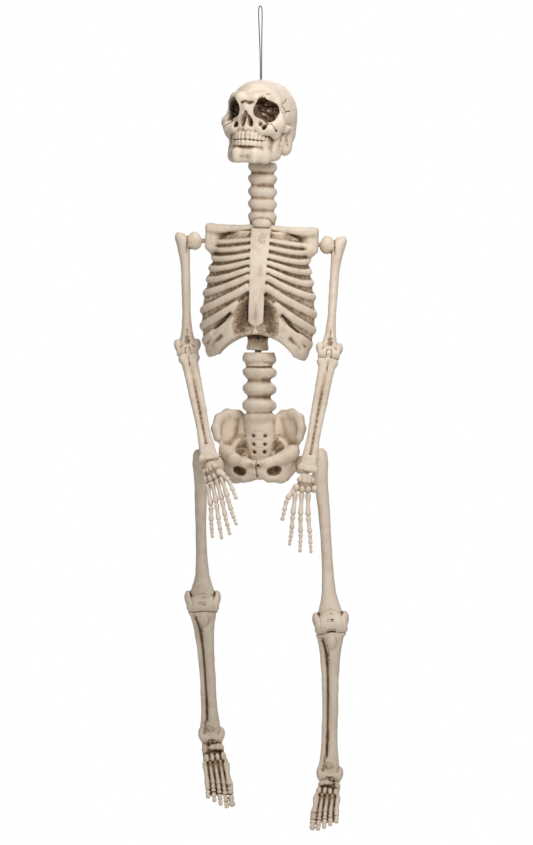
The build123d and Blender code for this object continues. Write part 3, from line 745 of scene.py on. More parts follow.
# ---- long bones ---------------------------------------------------------------------------------
def sculpt_upper_arm(side, material):
    s = SIDES[side]
    ball, elbow = joint_at(f"{side}_shoulder_swing"), joint_at(f"{side}_elbow_bend")
    top = ball + Vector((s * ARM_OFFSET, 0, 0))
    place = limb_frame(top, elbow - top)
    length = (elbow - top).length
    clay = Clay(f"{side}_upper_arm", (-25, -15, -length - 10), (25, 15, 16), 0.8, place)
    sections = [
        (9, 4.4, 5, s * 3, 0),
        (4, 7.4, 7.6, s * 2.2, 0),
        (-8, 7.4, 7.6, s * 1.2, 0),
        (-22, 6.0, 6.4, 0, 0),
        (-60, 5.4, 5.8, -s * 0.3, 0),
        (-length + 38, 5.4, 5.7, 0, 0),
        (-length + 20, 7.4, 6.2, 0, 0),
        (-length + 8, 10.6, 6.6, 0, 0),
        (-length + 1, 12.4, 6.6, 0, 0),
    ]
    clay.add(lofted(sections), 1)
    head = Vector(clay.local(ball))
    clay.add(blob(head, (8.6, 9.2, 11.0)), 2)
    clay.add(bar(head, (0, 0, -3), 7.4, 6.5), 4)
    clay.add(blob((s * 6.5, -2, 5), (4.6, 5.4, 6.0)), 3)
    clay.score([(-s * 3.6, 12), (-s * 3.2, 2), (-s * 2.0, -14)], 1.0, 1.1)
    clay.score([(-s * 3.6, 12), (-s * 3.2, 2), (-s * 2.0, -12)], 1.0, 1.0, "back")
    foot = -length
    wide = ELBOW["width"] / 2
    clay.add(drum((-wide + 0.4, 0, foot), (wide - 0.4, 0, foot), ELBOW["knuckle"] - 0.1, 2.6), 1.5)
    for way in (-1, 1):
        clay.add(blob((way * 12, 0, foot + 7), (4.2, 5.2, 6.5)), 3)
        clay.score([(way * 8.6, foot - 9), (way * 8.0, foot + 3)], 0.8, 0.7)
        clay.score([(way * 9, foot + 4), (way * 2, foot + 9), (0, foot + 26)], 1.0, 0.9)
    clay.cut(blob((0, -8.5, foot + 12), (5, 4.6, 8)), 2.0)
    clay.cut(blob((0, 8.5, foot + 12), (5, 4.2, 8)), 2.0)
    clay.pit(blob((0, -6, foot + 13), (5.5, 4.5, 10)), 0.6, 2.0, seed=11)
    clay.pit(blob((-s * 6, -6, -4), (5, 5, 8)), 0.4, 2.0, seed=12)
    clay.press(lambda x, y, z: 0.25 * rough(x, y, z, 7, 13), (-25, -15, -length), (25, 15, 16))
    seat(clay, ball, (-s, 0, 0), (0, s, 0), -4, 52, BALL["shoulder"], 16)
    slot_for_tongue(clay, (0, 0, foot), ELBOW, f"{side}_elbow_bend", joint_at(f"{side}_wrist_bend") - elbow)
    clay.cut(drum((-11.9, 0, foot), (11.9, 0, foot), 1.65), 0.2)
    # Painted shade: the number passed last darkens this piece for light falling off down the figure.
    return clay.piece(f"{side}_upper_arm", material, 0.06)


def hinge_tongue(clay, hinge_place, hinge, along):
    """Disc and stalk in the near bone's slot, drawn in the near bone's frame as in the CAD model."""
    to_clay = clay.place.inverted() @ hinge_place
    centre = to_clay.translation
    axis = to_clay.to_3x3() @ Vector((1, 0, 0))
    half, radius = hinge["tongue"] / 2, hinge["knuckle"] - 1.6
    clay.cut(drum(centre - axis * hinge["width"], centre + axis * hinge["width"], hinge["knuckle"] + 0.6), 0.4)
    clay.add(drum(centre - axis * half, centre + axis * half, radius, 0.5), 0.3)
    way = (clay.place.to_3x3().inverted() @ along).normalized()
    spread = axis.cross(way).normalized()
    stalk = Matrix((axis, spread, way)).transposed().to_4x4()
    reach = (hinge["knuckle"] + 4) / 2
    clay.add(brick(centre + way * reach, (half, 0.65 * radius, reach), stalk, 0.4), 0.3)


def sculpt_forearm(side, material):
    s = SIDES[side]
    ball, elbow = joint_at(f"{side}_shoulder_swing"), joint_at(f"{side}_elbow_bend")
    wrist = joint_at(f"{side}_wrist_bend")
    upper_top = ball + Vector((s * ARM_OFFSET, 0, 0))
    along = wrist - elbow
    place = limb_frame(elbow, along)
    end = -along.length + 7
    clay = Clay(f"{side}_forearm", (-16, -10, end - 3), (16, 10, 6), 0.75, place)
    ulna = [(s * 5.2, 0.5, -5), (s * 5.0, 0.3, -22), (s * 4.6, 0, -60), (s * 3.8, 0, -100), (s * 5.2, 0, end + 6)]
    radius = [
        (-s * 6.0, 0, -6),
        (-s * 5.2, 0, -16),
        (-s * 5.0, -0.3, -40),
        (-s * 4.6, -0.4, -80),
        (-s * 3.6, 0, -108),
        (-s * 5.2, 0, end + 7),
    ]
    clay.chain(ulna, (6.2, 4.8, 4.2, 3.6, 4.8), 1.5)
    clay.chain(radius, (5.8, 4.4, 4.2, 4.0, 4.2, 5.6), 1.5)
    web = [
        (-4, 10.5, 4.6, 0, 0),
        (-16, 8.0, 4.2, 0, 0),
        (-40, 6, 3.2, 0, 0),
        (-90, 5.5, 3.0, 0, 0),
        (end + 26, 5.5, 3.4, 0, 0),
        (end + 12, 8.5, 5.0, 0, 0),
        (end + 1, 11.2, 6.0, 0, 0),
    ]
    clay.add(lofted(web), 1.5)
    clay.add(drum((0, 0, end), (0, 0, end + 20), 5.2), 2)
    for way in (-1, 1):
        clay.add(blob((way * 9.2, 0, end + 4), (3.6, 5.2, 4.4)), 2)
        clay.add(blob((way * 9.4, 0, -11), (3.6, 5.6, 5)), 2.5)
    for facing in ("front", "back"):
        clay.score([(s * 0.6, -20), (s * 0.4, -70), (0, end + 22)], 2.6, 0.4, facing)
        clay.score([(s * 1.0, -8), (s * 1.2, -22)], 0.8, 0.8, facing)
        clay.score([(-8, end + 9), (0, end + 7), (8, end + 10)], 0.7, 0.5, facing)
    for facing in (-1, 1):
        clay.pit(blob((0, facing * 5, (end - 24) / 2), (2.6, 4.5, -end / 2 - 22)), 0.5, 2.2, seed=21)
    clay.press(lambda x, y, z: 0.22 * rough(x, y, z, 6, 23), (-16, -10, end - 2), (16, 10, 6))
    clay.cut(brick((0, 0, end - 6), (20, 14, 6), None, 0.2), 0.6)
    hinge_tongue(clay, limb_frame(elbow, elbow - upper_top), ELBOW, along)
    pin_axis = (clay.place.to_3x3().inverted() @ (limb_frame(elbow, elbow - upper_top).to_3x3() @ Vector((1, 0, 0))))
    clay.cut(drum(-pin_axis * 10, pin_axis * 10, 1.75), 0.2)
    stem_bore(clay, wrist, -along, BALL["wrist"], 20.6)
    # Painted shade: the number passed last darkens this piece for light falling off down the figure.
    return clay.piece(f"{side}_forearm", material, 0.05)


def sculpt_thigh(side, material):
    s = SIDES[side]
    ball, knee = joint_at(f"{side}_hip_swing"), joint_at(f"{side}_knee_bend")
    top = ball + Vector((s * LEG_OFFSET, 0, 0))
    place = limb_frame(top, knee - top)
    length = (knee - top).length
    clay = Clay(f"{side}_thigh", (-38, -20, -length - 14), (38, 20, 24), 0.95, place)
    sections = [
        (19, 4, 5, -s * 0.5, 0),
        (11, 7.6, 9, 0, 0),
        (-2, 8.8, 9.6, 0, 0),
        (-20, 8.0, 8.6, -s * 0.3, 0),
        (-56, 7.0, 7.8, s * 0.6, 0),
        (-length + 66, 7.0, 7.8, s * 0.4, 0),
        (-length + 38, 8.8, 8.4, 0, 0),
        (-length + 18, 13.4, 9.4, 0, 0),
        (-length + 2, 18.2, 10.8, 0, 0),
    ]
    clay.add(lofted(sections), 1)
    head = Vector(clay.local(ball))
    clay.add(blob(head, (11.4, 11.4, 11.4)), 1)
    clay.add(bar(head, (0, 0, 2), 7.6, 8.4), 4)
    clay.add(blob((s * 2.5, 1, 12), (6.4, 8, 8)), 3)
    clay.add(blob((-s * 8, 3, -16), (4.4, 5, 6)), 4)
    foot, wide = -length, KNEE["width"] / 2
    clay.add(drum((-wide + 0.4, 0, foot), (wide - 0.4, 0, foot), KNEE["knuckle"] - 0.1, 4.4), 2)
    for way in (-1, 1):
        clay.add(blob((way * 17.5, 0, foot + 7), (4.6, 7.5, 8)), 3)
        clay.score([(way * 15.5, foot + 15), (way * 12, foot + 4), (way * 13, foot - 6)], 1.0, 0.8)
    clay.cut(blob((0, -15.2, foot + 10), (7, 3.4, 9)), 4)
    clay.cut(blob((0, 15.2, foot + 10), (7, 3.4, 9)), 4)
    clay.score([(-14, foot + 12), (0, foot + 17), (14, foot + 12)], 1.6, 0.6)
    clay.score([(s * 0, -30), (s * 1, -90), (0, foot + 50)], 1.6, 0.35, "back")
    clay.pit(blob((-s * 6, -7, 4), (6, 5, 9)), 0.5, 2.4, seed=31)
    clay.pit(blob((0, -9, foot + 6), (6, 5, 8)), 0.5, 2.4, seed=32)
    clay.press(lambda x, y, z: 0.3 * rough(x, y, z, 9, 33), (-38, -20, foot), (38, 20, 24))
    seat(clay, ball, (-s, 0, 0), (0, s, 0), -4, 42, BALL["hip"], 20)
    slot_for_tongue(clay, (0, 0, foot), KNEE, f"{side}_knee_bend", joint_at(f"{side}_ankle_bend") - knee)
    clay.cut(drum((-17.4, 0, foot), (17.4, 0, foot), 2.25), 0.2)
    # Painted shade: the number passed last darkens this piece for light falling off down the figure.
    return clay.piece(f"{side}_thigh", material, 0.1)


def foot_stalk(side):
    """Way in which the foot's stalk leaves the ankle pin, down and back into the heel."""
    frame_of_foot = limb_frame(Vector(), down(FOOT["forward"][side], FOOT["inward"][side], SIDES[side]))
    return frame_of_foot.to_3x3() @ (turn(x=30).to_3x3() @ Vector((0, 0, -1)))


def sculpt_lower_leg(side, material):
    s = SIDES[side]
    hip, knee = joint_at(f"{side}_hip_swing"), joint_at(f"{side}_knee_bend")
    ankle = joint_at(f"{side}_ankle_bend")
    thigh_top = hip + Vector((s * LEG_OFFSET, 0, 0))
    along = ankle - knee
    place = limb_frame(knee, along)
    foot = -along.length
    clay = Clay(f"{side}_lower_leg", (-21, -15, foot - 10), (21, 15, 6), 0.95, place)
    shin = [
        (-6, 15.6, 10.4, 1.0, 0),
        (-18, 13.4, 10.2, 1.6, 0),
        (-34, 9.2, 9.2, 3.2, 0),
        (-60, 6.8, 8.2, 3.6, -0.3),
        (-110, 6.2, 7.6, 3.4, -0.3),
        (foot + 36, 6.8, 7.6, 2.6, 0),
        (foot + 16, 9.6, 8.2, 1.6, 0),
        (foot + 1, 11.4, 8.2, 0.8, 0),
    ]
    clay.add(lofted(shin), 1)
    calf = [(-13.4, 0, -15), (-10.6, 1, -30), (-7.6, 0.8, -64), (-6.6, 0.6, -110), (-7.6, 0.4, foot + 30), (-9.6, 0, foot + 8)]
    clay.chain(calf, (4.4, 3.3, 3.0, 3.0, 3.3, 4.2), 0.8)
    clay.add(lofted([(-18, 8, 4, -6, 0), (-60, 5, 3, -4, 0.4), (-110, 5, 3, -3.6, 0.4), (foot + 14, 6, 4, -4, 0)]), 1)
    clay.add(blob((0, -8.4, -19), (5, 3.6, 8)), 3)
    for way in (-1, 1):
        clay.add(blob((way * 12.6, 0, foot + 3), (3.6, 6.6, 8)), 3)
        clay.add(blob((way * 14.5, 0, -10), (4.2, 8.2, 5)), 3)
    for facing in ("front", "back"):
        clay.score([(-9, -17), (-6.4, -34), (-3.6, -66), (-3.2, -110), (-3.8, foot + 26)], 1.2, 1.3, facing)
        clay.score([(-16, -20), (-9, -22)], 0.9, 1.0, facing)
        clay.score([(-11, foot + 14), (-2, foot + 11), (8, foot + 15)], 0.8, 0.5, facing)
    clay.pit(blob((-4, -6, -40), (3.4, 5, 24)), 0.7, 2.4, seed=41)
    clay.pit(blob((-3.5, -6, foot + 44), (3.6, 5, 22)), 0.7, 2.4, seed=42)
    clay.pit(blob((-2, -8, foot + 14), (8, 4, 6)), 0.5, 2.2, seed=43)
    clay.press(lambda x, y, z: 0.3 * rough(x, y, z, 8, 44), (-21, -15, foot - 8), (21, 15, 6))
    wide = ANKLE["width"] / 2
    clay.add(drum((-wide + 0.4, 0, foot), (wide - 0.4, 0, foot), ANKLE["knuckle"] - 0.1, 2.6), 1.5)
    hinge_place = limb_frame(knee, knee - thigh_top)
    hinge_tongue(clay, hinge_place, KNEE, along)
    pin_axis = clay.place.to_3x3().inverted() @ (hinge_place.to_3x3() @ Vector((1, 0, 0)))
    clay.cut(drum(-pin_axis * 15, pin_axis * 15, 2.35), 0.2)
    slot_for_tongue(clay, (0, 0, foot), ANKLE, f"{side}_ankle_bend", foot_stalk(side))
    clay.cut(drum((-11.4, 0, foot), (11.4, 0, foot), 1.85), 0.2)
    # Painted shade: the number passed last darkens this piece for light falling off down the figure.
    return clay.piece(f"{side}_lower_leg", material, 0.2)


# ---- hands and feet -----------------------------------------------------------------------------
def add_digit(clay, points, radii, blend=0.5):
    """Row of small bones along points, each waisted between two knobs, with dark creases between them."""
    for a, b, r in zip(points, points[1:], radii):
        a, b = Vector(a), Vector(b)
        way = (b - a).normalized()
        start, stop, middle = a + way * r * 0.95, b - way * r * 0.95, (a + b) / 2
        clay.add(bar(start, middle, r, r * 0.64), blend)
        clay.add(bar(middle, stop, r * 0.64, r), blend)
        clay.stain(blob(b, (r * 1.4, r * 1.4, r * 0.7)), 0.2, 1.0)


def sculpt_hand(side, material):
    s = SIDES[side]
    elbow, wrist = joint_at(f"{side}_elbow_bend"), joint_at(f"{side}_wrist_bend")
    along = down(HAND["forward"][side], HAND["inward"][side], s)
    place = limb_frame(wrist, along) @ turn(z=s * HAND["turn"][side])
    clay = Clay(f"{side}_hand", (-33, -11, -97), (33, 11, 8), 0.62, place)
    clay.add(lofted([(4.6, 6.4, 5, 0, 0), (0, 8.2, 5.2, 0, 0), (-8, 10.2, 4.2, 0, 0), (-17, 11.6, 3.4, 0, 0)]), 1)
    near_row = [(-7.6, -3.2, 3.7), (-2.4, -4.6, 4.1), (3.2, -4.4, 3.8), (7.9, -3.4, 3.4)]
    far_row = [(-11.4, -12.8, 4.7), (-4.2, -14.2, 4.6), (3.0, -14, 4.8), (10.4, -12.8, 4.7)]
    for x, z, r in near_row + far_row:
        clay.add(blob((s * x, 0, z), (r * 0.92, 5.9, r)), 0.3)
    clay.cut(blob((0, 8.4, -10), (8, 3.4, 8)), 2)
    clay.stain(blob((0, 0, -8), (12, 8, 1.6)), 0.14, 1.0)
    for k in range(4):
        root = Vector((s * (-11.6 + 7.6 * k), 0, -18))
        knuckle = root + Vector((s * (-1.4 + 1.6 * k), 0, -28))
        reach = 44 if k in (1, 2) else 37
        tip = knuckle + Vector((s * (-1.6 + 4.2 * k), 1, -reach))
        second, third = knuckle.lerp(tip, 0.47), knuckle.lerp(tip, 0.76)
        second.x += s * 0.7
        third.x += s * 0.4
        add_digit(clay, (root, knuckle, second, third, tip), (3.4, 3.1, 2.7, 2.2))
    thumb = Vector((-s * 12.4, 0, -13.4))
    knuckle = thumb + Vector((-s * 9.2, 0, -14.6))
    tip = knuckle + Vector((-s * 4, 0, -26))
    add_digit(clay, (thumb, knuckle, knuckle.lerp(tip, 0.56), tip), (3.4, 3.0, 2.5))
    clay.press(lambda x, y, z: 0.16 * rough(x, y, z, 4, 53), (-33, -11, -97), (33, 11, 8))
    ball_axis = Vector(JOINT[f"{side}_wrist_bend"]["axis"])
    way = elbow - wrist
    seat(clay, wrist, way, ball_axis, -32, 32, BALL["wrist"], 12)
    # Painted shade: the number passed last darkens this piece for light falling off down the figure.
    return clay.piece(f"{side}_hand", material, 0.06)


def sculpt_foot(side, material):
    s = SIDES[side]
    knee, ankle = joint_at(f"{side}_knee_bend"), joint_at(f"{side}_ankle_bend")
    along = down(FOOT["forward"][side], FOOT["inward"][side], s)
    place = limb_frame(ankle, along)
    clay = Clay(f"{side}_foot", (-22, -14, -107), (22, 30, 28), 0.9, place)
    sole = [
        (24, 6.6, 6.2, 0, 15),
        (12, 10, 9.6, 0, 14),
        (-6, 12.6, 11.4, 0, 12),
        (-26, 13.6, 9.6, 0, 10.5),
        (-40, 14.6, 6.0, 0, 13.2),
        (-60, 15.2, 4.2, 0, 15),
        (-76, 15.6, 3.4, 0, 16),
    ]
    clay.add(lofted(sole), 1)
    clay.add(blob((0, 4, -6), (10.6, 8.6, 8)), 2)
    clay.add(blob((s * -3, 1.8, -17), (10, 5.5, 5.2)), 0.8)
    clay.add(blob((s * 8.5, 6, -15), (5.5, 6, 8.5)), 0.8)
    for k, x in enumerate((-10.4, -3.6, 3.0, 9.6)):
        clay.add(blob((s * x, 3.6 + 0.5 * k, -29), (3.7, 5.2, 5.6)), 0.6)
    for facing in ("front",):
        clay.score([(-14, -12), (0, -11.4), (13, -9)], 0.8, 1.1, facing, 14)
        clay.score([(s * -14, -23), (0, -22.6), (s * 14, -23.6)], 0.8, 1.1, facing, 14)
        clay.score([(s * -15, -35), (0, -35.4), (s * 15, -34)], 0.8, 0.9, facing, 14)
    for k in range(5):
        root = Vector((-s * (12.6 - 6.2 * k), 8.6 + 0.4 * k, -34))
        knuckle = Vector((-s * (13.2 - 6.5 * k), 11.4, -70 + 1.6 * k))
        reach = (27, 30, 27, 22.5, 17)[k]
        tip = knuckle + Vector((s * k * 0.4, 2.6, -reach))
        size = 1.28 if k == 0 else 1.0
        clay.add(blob(root, (3.4, 5.4, 4.0)), 0.6)
        middle = knuckle.lerp(tip, 0.42)
        last = knuckle.lerp(tip, 0.74)
        rows = (root, knuckle, middle, last, tip) if k else (root, knuckle, middle, tip)
        add_digit(clay, rows, [r * size for r in (3.6, 3.3, 3.1, 2.8)], 0.4)
        clay.add(blob(knuckle, (3.5 * size, 3.8, 3.4)), 0.4)
    clay.pit(blob((0, -2, -20), (15, 8, 18)), 0.45, 2.4, seed=51)
    clay.press(lambda x, y, z: 0.25 * rough(x, y, z, 6, 52), (-22, -14, -100), (22, 30, 28))
    hinge_place = limb_frame(ankle, ankle - knee)
    axis = clay.place.to_3x3().inverted() @ (hinge_place.to_3x3() @ Vector((1, 0, 0)))
    for lean in range(-36, 37, 8):
        up = turn(x=lean).to_3x3() @ Vector((0, 0, 1))
        way = clay.place.to_3x3().inverted() @ (hinge_place.to_3x3() @ up)
        stalk = Matrix((axis, axis.cross(way), way)).transposed().to_4x4()
        clay.cut(brick(way * 22, (30, 11.5, 22.5), stalk, 0.3), 0.5)
    hinge_tongue(clay, hinge_place, ANKLE, foot_stalk(side))
    clay.cut(drum(-axis * 13, axis * 13, 1.95), 0.2)
    # Painted shade: the number passed last darkens this piece for light falling off down the figure.
    return clay.piece(f"{side}_foot", material, 0.38)


# ---- rib cage with the neck ---------------------------------------------------------------------
TORSO_LEAN, TORSO_YAW, TORSO_HEIGHT = 2.3, -4.5, -258.0
NECK = {"crest": 16.8, "valley": 13.2}
STUB = {"r": 12.4, "bottom": -154.2}
BARREL = [
    (-10, 34, 15, 0, 0),
    (-22, 50, 23, 0, -1),
    (-42, 55, 32, 0, -2),
    (-70, 61, 37, 0, -3),
    (-110, 66.5, 39, 0, -4),
    (-140, 64.5, 36, 0, -4),
    (-163, 56, 31, 0, -3),
]
RIB_TOPS = [-22, -31, -41, -49.5, -58.5, -68, -80.5, -94, -108, -124]  # beside the sternum
RIB_ENDS = [-26, -33.5, -44.5, -57, -71, -88, -109, -128.5, -147, -160]  # at the widest point
RIB_DIPS = [1.5, 3.5, 3.6, 4, 3.3, 1.5, 0, 0, 0, 0]
RIB_STARTS = [0.2, 0.2, 0.2, 0.2, 0.2, 0.2, 0.2, 0.42, 0.66, 0.85]  # how far round the barrel each begins
NECK_CRESTS = [-193.2, -206.8, -222.8, -237.2, -252.6]
RIB_GIRTH = [3.2, 3.6, 3.9, 4.0, 4.3, 4.7, 5.1, 5.2, 5.3, 5.4]
ARCH = {"half": 46.0, "foot": -162.0, "rise": 26.0}


def barrel_terms(x, y, z):
    """Distance to the barrel, and how far round it a point lies: 0 in front, pi at the back."""
    rows = np.array(BARREL[::-1], float)
    wide, deep, dy = (curve(z, rows[:, 0], rows[:, k]) for k in (1, 2, 4))
    y = y - dy
    near = np.sqrt((x / wide) ** 2 + (y / deep) ** 2) + 1e-6
    slope = np.sqrt((x / wide**2) ** 2 + (y / deep**2) ** 2) + 1e-6
    return near * (near - 1) / slope, np.abs(np.arctan2(x / wide, -y / deep))


def rib_distance(x, y, z):
    """All the ribs at once: each is a rounded band that follows its own line round the barrel."""
    out, around = barrel_terms(x, y, z)
    front = np.clip((around - RIB_STARTS[0]) / (math.pi / 2 - RIB_STARTS[0]), 0, 1)
    back = np.clip(around / (math.pi / 2) - 1, 0, 1)
    best = None
    for top, end, dip, girth, start in zip(RIB_TOPS, RIB_ENDS, RIB_DIPS, RIB_GIRTH, RIB_STARTS):
        bend = 2.0 if end < -60 else 1.6
        line = top + (end - top) * (1 - (1 - front) ** bend) - dip * np.sin(np.pi * front) + 24 * back**1.2
        slant = (top - end) * bend * (1 - front) ** (bend - 1) / 62
        half = girth * (0.86 + 0.14 * front)
        rise = (z - line) / np.sqrt(1 + slant**2)
        before = np.maximum(start - around, 0) * 40
        gap = np.sqrt(rise**2 + ((out - 0.2) * half / 3.9) ** 2 + before**2) - half
        best = gap if best is None else np.minimum(best, gap)
    return best


def arch_distance(x, z):
    """Distance in the front view to the open arch below the ribs, negative inside it."""
    radius = (ARCH["half"] ** 2 + ARCH["rise"] ** 2) / (2 * ARCH["rise"])
    circle = np.sqrt(x * x + (z - (ARCH["foot"] + ARCH["rise"] - radius)) ** 2) - radius
    below = np.maximum(np.abs(x) - ARCH["half"] - 2, z - ARCH["foot"])
    return np.minimum(circle, below)


def sternum_distance(x, y, z):
    out, _ = barrel_terms(x, y, z)
    half = curve(z, [-150, -132, -80, -30, -8], [7.0, 8.6, 9.4, 11.4, 12.0])
    ends = np.maximum(z + 9, -126 - z + 0.06 * x * x)
    flank = np.maximum(np.abs(x) - half, ends)
    return -smooth_min(-flank, -np.maximum(out - 4.2, np.maximum(-out - 6, y)), 2.0)


def ringed(clay, lean, crests, crest, valley):
    """Column of vertebrae: round plates at the crests, with a spine behind each of them."""
    pitch = (crests[0] - crests[-1]) / (len(crests) - 1)
    heights, girths = [], []
    for k, height in enumerate(crests):
        below = crests[k + 1] if k + 1 < len(crests) else height - pitch
        heights += [height + 0.16 * pitch, height - 0.1 * pitch, 0.46 * height + 0.54 * below]
        girths += [crest, crest * 0.985, valley]
    top, foot = crests[0] + 0.42 * pitch, crests[-1] - 0.62 * pitch
    heights, girths = [top, *heights], [0.9 * crest, *girths]

    def column(x, y, z):
        girth = curve(z, heights[::-1], girths[::-1])
        x, y = x - lean[0] * z, y - lean[1] * z
        around = np.arctan2(y, x)
        girth = girth + 0.5 * np.cos(2 * around) + 0.35 * np.cos(3 * around + 1.2)
        return np.maximum((np.sqrt(x * x + y * y) - girth) * 0.9, np.maximum(z - top, foot - z))

    reach = crest + 3
    clay.add((column, (-reach, -reach, foot), (reach, reach, top)), 1.6)
    for height in crests:
        middle = (lean[0] * height, lean[1] * height + crest - 3, height - 1)
        clay.add(blob(middle, (4, 4.5, 3.6)), 2.5)


def sculpt_rib_cage(material):
    ball = joint_at("head_nod")
    at = Vector((ball.x, ball.y, TORSO_HEIGHT))
    place = Matrix.Translation(at) @ turn(z=TORSO_YAW) @ turn(y=TORSO_LEAN)
    clay = Clay("rib_cage", (-75, -52, -166), (75, 42, 73), 1.0, place)
    everywhere = (clay.low + 1, clay.low + clay.step * np.array(clay.d.shape) - 1)
    clay.add((lambda x, y, z: np.maximum(barrel_terms(x, y, z)[0] - 0.9, np.maximum(z + 12, -163 - z)), *everywhere), 1)
    recess = (lambda x, y, z: np.maximum(np.abs(barrel_terms(x, y, z)[0]) - 3, np.maximum(z + 14, -170 - z)), *everywhere)
    clay.pit(recess, 0.5, 1.8, seed=61)
    ribs = (lambda x, y, z: np.maximum(rib_distance(x, y, z), np.maximum(z + 14, -165 - z)), *everywhere)
    clay.add(ribs, 1.6)

    def apron(x, y, z):
        """Smooth gristle below the ribs, from the sternum out to the last slit."""
        upper = curve(np.abs(x), [12, 22, 34, 46, 58], [-90, -99, -116, -133, -150])
        return np.maximum(barrel_terms(x, y, z)[0] - 2.6, np.maximum(np.maximum(z - upper, -163 - z), y))

    clay.add((apron, *everywhere), 3)
    for s in (-1, 1):
        clay.cut(blob((s * 15, -51.5, -114), (8.5, 9, 26), turn(y=-s * 9)), 10)
        clay.pit(blob((s * 13, -42, -117), (15, 14, 32), turn(y=-s * 9)), 0.4, 1.6, seed=62)
        clay.stain(blob((s * 17, -38, -118), (7, 10, 28), turn(y=-s * 8)), 0.24, 7)
        clay.score([(s * 31, -113), (s * 41, -124), (s * 51, -136)], 3.4, 1.8)
        clay.stain(bar((s * 32, -38, -114), (s * 50, -26, -135), 5), 0.12, 3)
        clay.score([(s * 42, -140), (s * 48, -146.5), (s * 53, -152)], 2.9, 1.8)
    arch_prism = (lambda x, y, z: arch_distance(x, z) + 0 * y, everywhere[0], everywhere[1])
    clay.cut(arch_prism, 4.0)
    clay.add((sternum_distance, *everywhere), 1.6)
    for s, heights in ((-1, (-34, -55, -78)), (1, (-45, -66, -88))):
        for height in heights:
            clay.score([(s * 7, height), (s * 12, height - 1)], 1.0, 0.7)
    clay.pit(blob((4, -26, -21), (7, 14, 8)), 0.35, 1.8, seed=63)
    clay.pit(blob((3, -26, -60), (5, 24, 12)), 0.2, 1.8, seed=60)

    for s in (-1, 1):
        clay.chain([(s * 8, -9, -8.5), (s * 34, -8, -9.5), (s * 63, -3, -9.5)], (4.6, 4.2, 4.6), 1.5)
        clay.add(brick((s * 36, -3, -11), (31, 8, 4), None, 2.5), 2)
        clay.add(brick((s * 62, 2, -20), (5.6, 10.6, 15.6), None, 3), 2.5)
        clay.add(blob((s * 60, -3, -33), (5.8, 7, 6.5)), 4)
        clay.add(blob((s * 54, 0, -33), (8, 11, 11)), 5)
        clay.chain([(s * 46, 2, -16), (s * 58, 1, -24)], (9.5, 9.0), 5)
        clay.pit(blob((s * 42, -14, -18), (17, 8, 6)), 0.4, 2.0, seed=64)
        plate = [(s * 22, 32, -26), (s * 40, 29, -30), (s * 46, 26, -50), (s * 30, 36, -72)]
        clay.chain(plate, (2.6, 3.2, 3.2, 2.6), 3)
    clay.chain([(0, 15, -14), (0, 26, -40), (0, 34, -80), (0, 35, -120), (0, 30, -150)], (8, 7, 7, 7, 6.5), 3)
    for k in range(9):
        height = -26 - 14.6 * k
        depth = float(curve(height, [-163, -110, -42, -10], [29, 36.4, 32, 17])) + 2.5
        clay.add(blob((0, min(depth, 38), height), (3.2, 4.2, 4.6)), 2)
        clay.add(blob((0, depth - 5, height + 6), (9, 4, 3)), 2)

    clay.add(drum((0, 0, -60), (0, 0, STUB["bottom"]), STUB["r"], 1.4), 4)
    clay.add(drum((0, 0, STUB["bottom"] + 5), (0, 0, STUB["bottom"]), STUB["r"] + 0.7, 1.2), 1.5)
    clay.cut(blob((1.5, -13.4, -140), (3.6, 2.2, 2.4)), 1)
    clay.pit(blob((0, -10, -139), (13, 10, 8)), 0.5, 2.0, seed=65)
    clay.stain(blob((0, -34, -134), (20, 12, 7)), 0.34, 5)
    clay.stain(blob((0, -12, -140), (16, 10, 8)), 0.24, 4)

    up = place.to_3x3().inverted() @ Vector((0, 0, 1))
    lean = (up.x / up.z, up.y / up.z)
    ringed(clay, lean, [height - at.z for height in NECK_CRESTS], NECK["crest"], NECK["valley"])
    clay.chain([(0, 0, -2), (0, 0, -12)], (14.2, 16.5), 4)
    clay.add(blob((0, -11, -2), (11.5, 8.5, 7.5)), 1.2)
    clay.press(lambda x, y, z: 0.3 * rough(x, y, z, 9, 67), *everywhere)
    clay.pit(blob((4, -8, 40), (13, 12, 8)), 0.3, 2.0, seed=68)
    clay.pit(blob((0, -10, 4), (16, 12, 7)), 0.3, 2.0, seed=69)

    stem_bore(clay, ball, (0, 0, -1), BALL["neck"], 33)
    for side, s in SIDES.items():
        stem_bore(clay, joint_at(f"{side}_shoulder_swing"), (-s, 0, 0), BALL["shoulder"], 25.8)
    stem_bore(clay, joint_at("waist_turn"), (0, 0, 1), BALL["waist"], 30.4)
    return clay.piece("torso", material)


# ---- pelvis with the lumbar column --------------------------------------------------------------
PELVIS_AT, PELVIS_YAW = (-2.2, 4.0, -416.4), -8
WING = [(14, -84), (27, -70), (40, -68), (51, -75), (55.5, -90), (53, -102), (46, -113), (41, -128)]
SEAT = [(40, -142), (33, -152), (20, -154.5), (6, -149.5)]
LUMBAR_CRESTS = [-6.6, -22.2, -42.4, -61.8]
BOWL = {"centre": -58.0, "r": 77.5}


def bowl_y(x):
    """Depth of the middle of the pelvis' wall at x."""
    return BOWL["centre"] + math.sqrt(BOWL["r"] ** 2 - x * x)


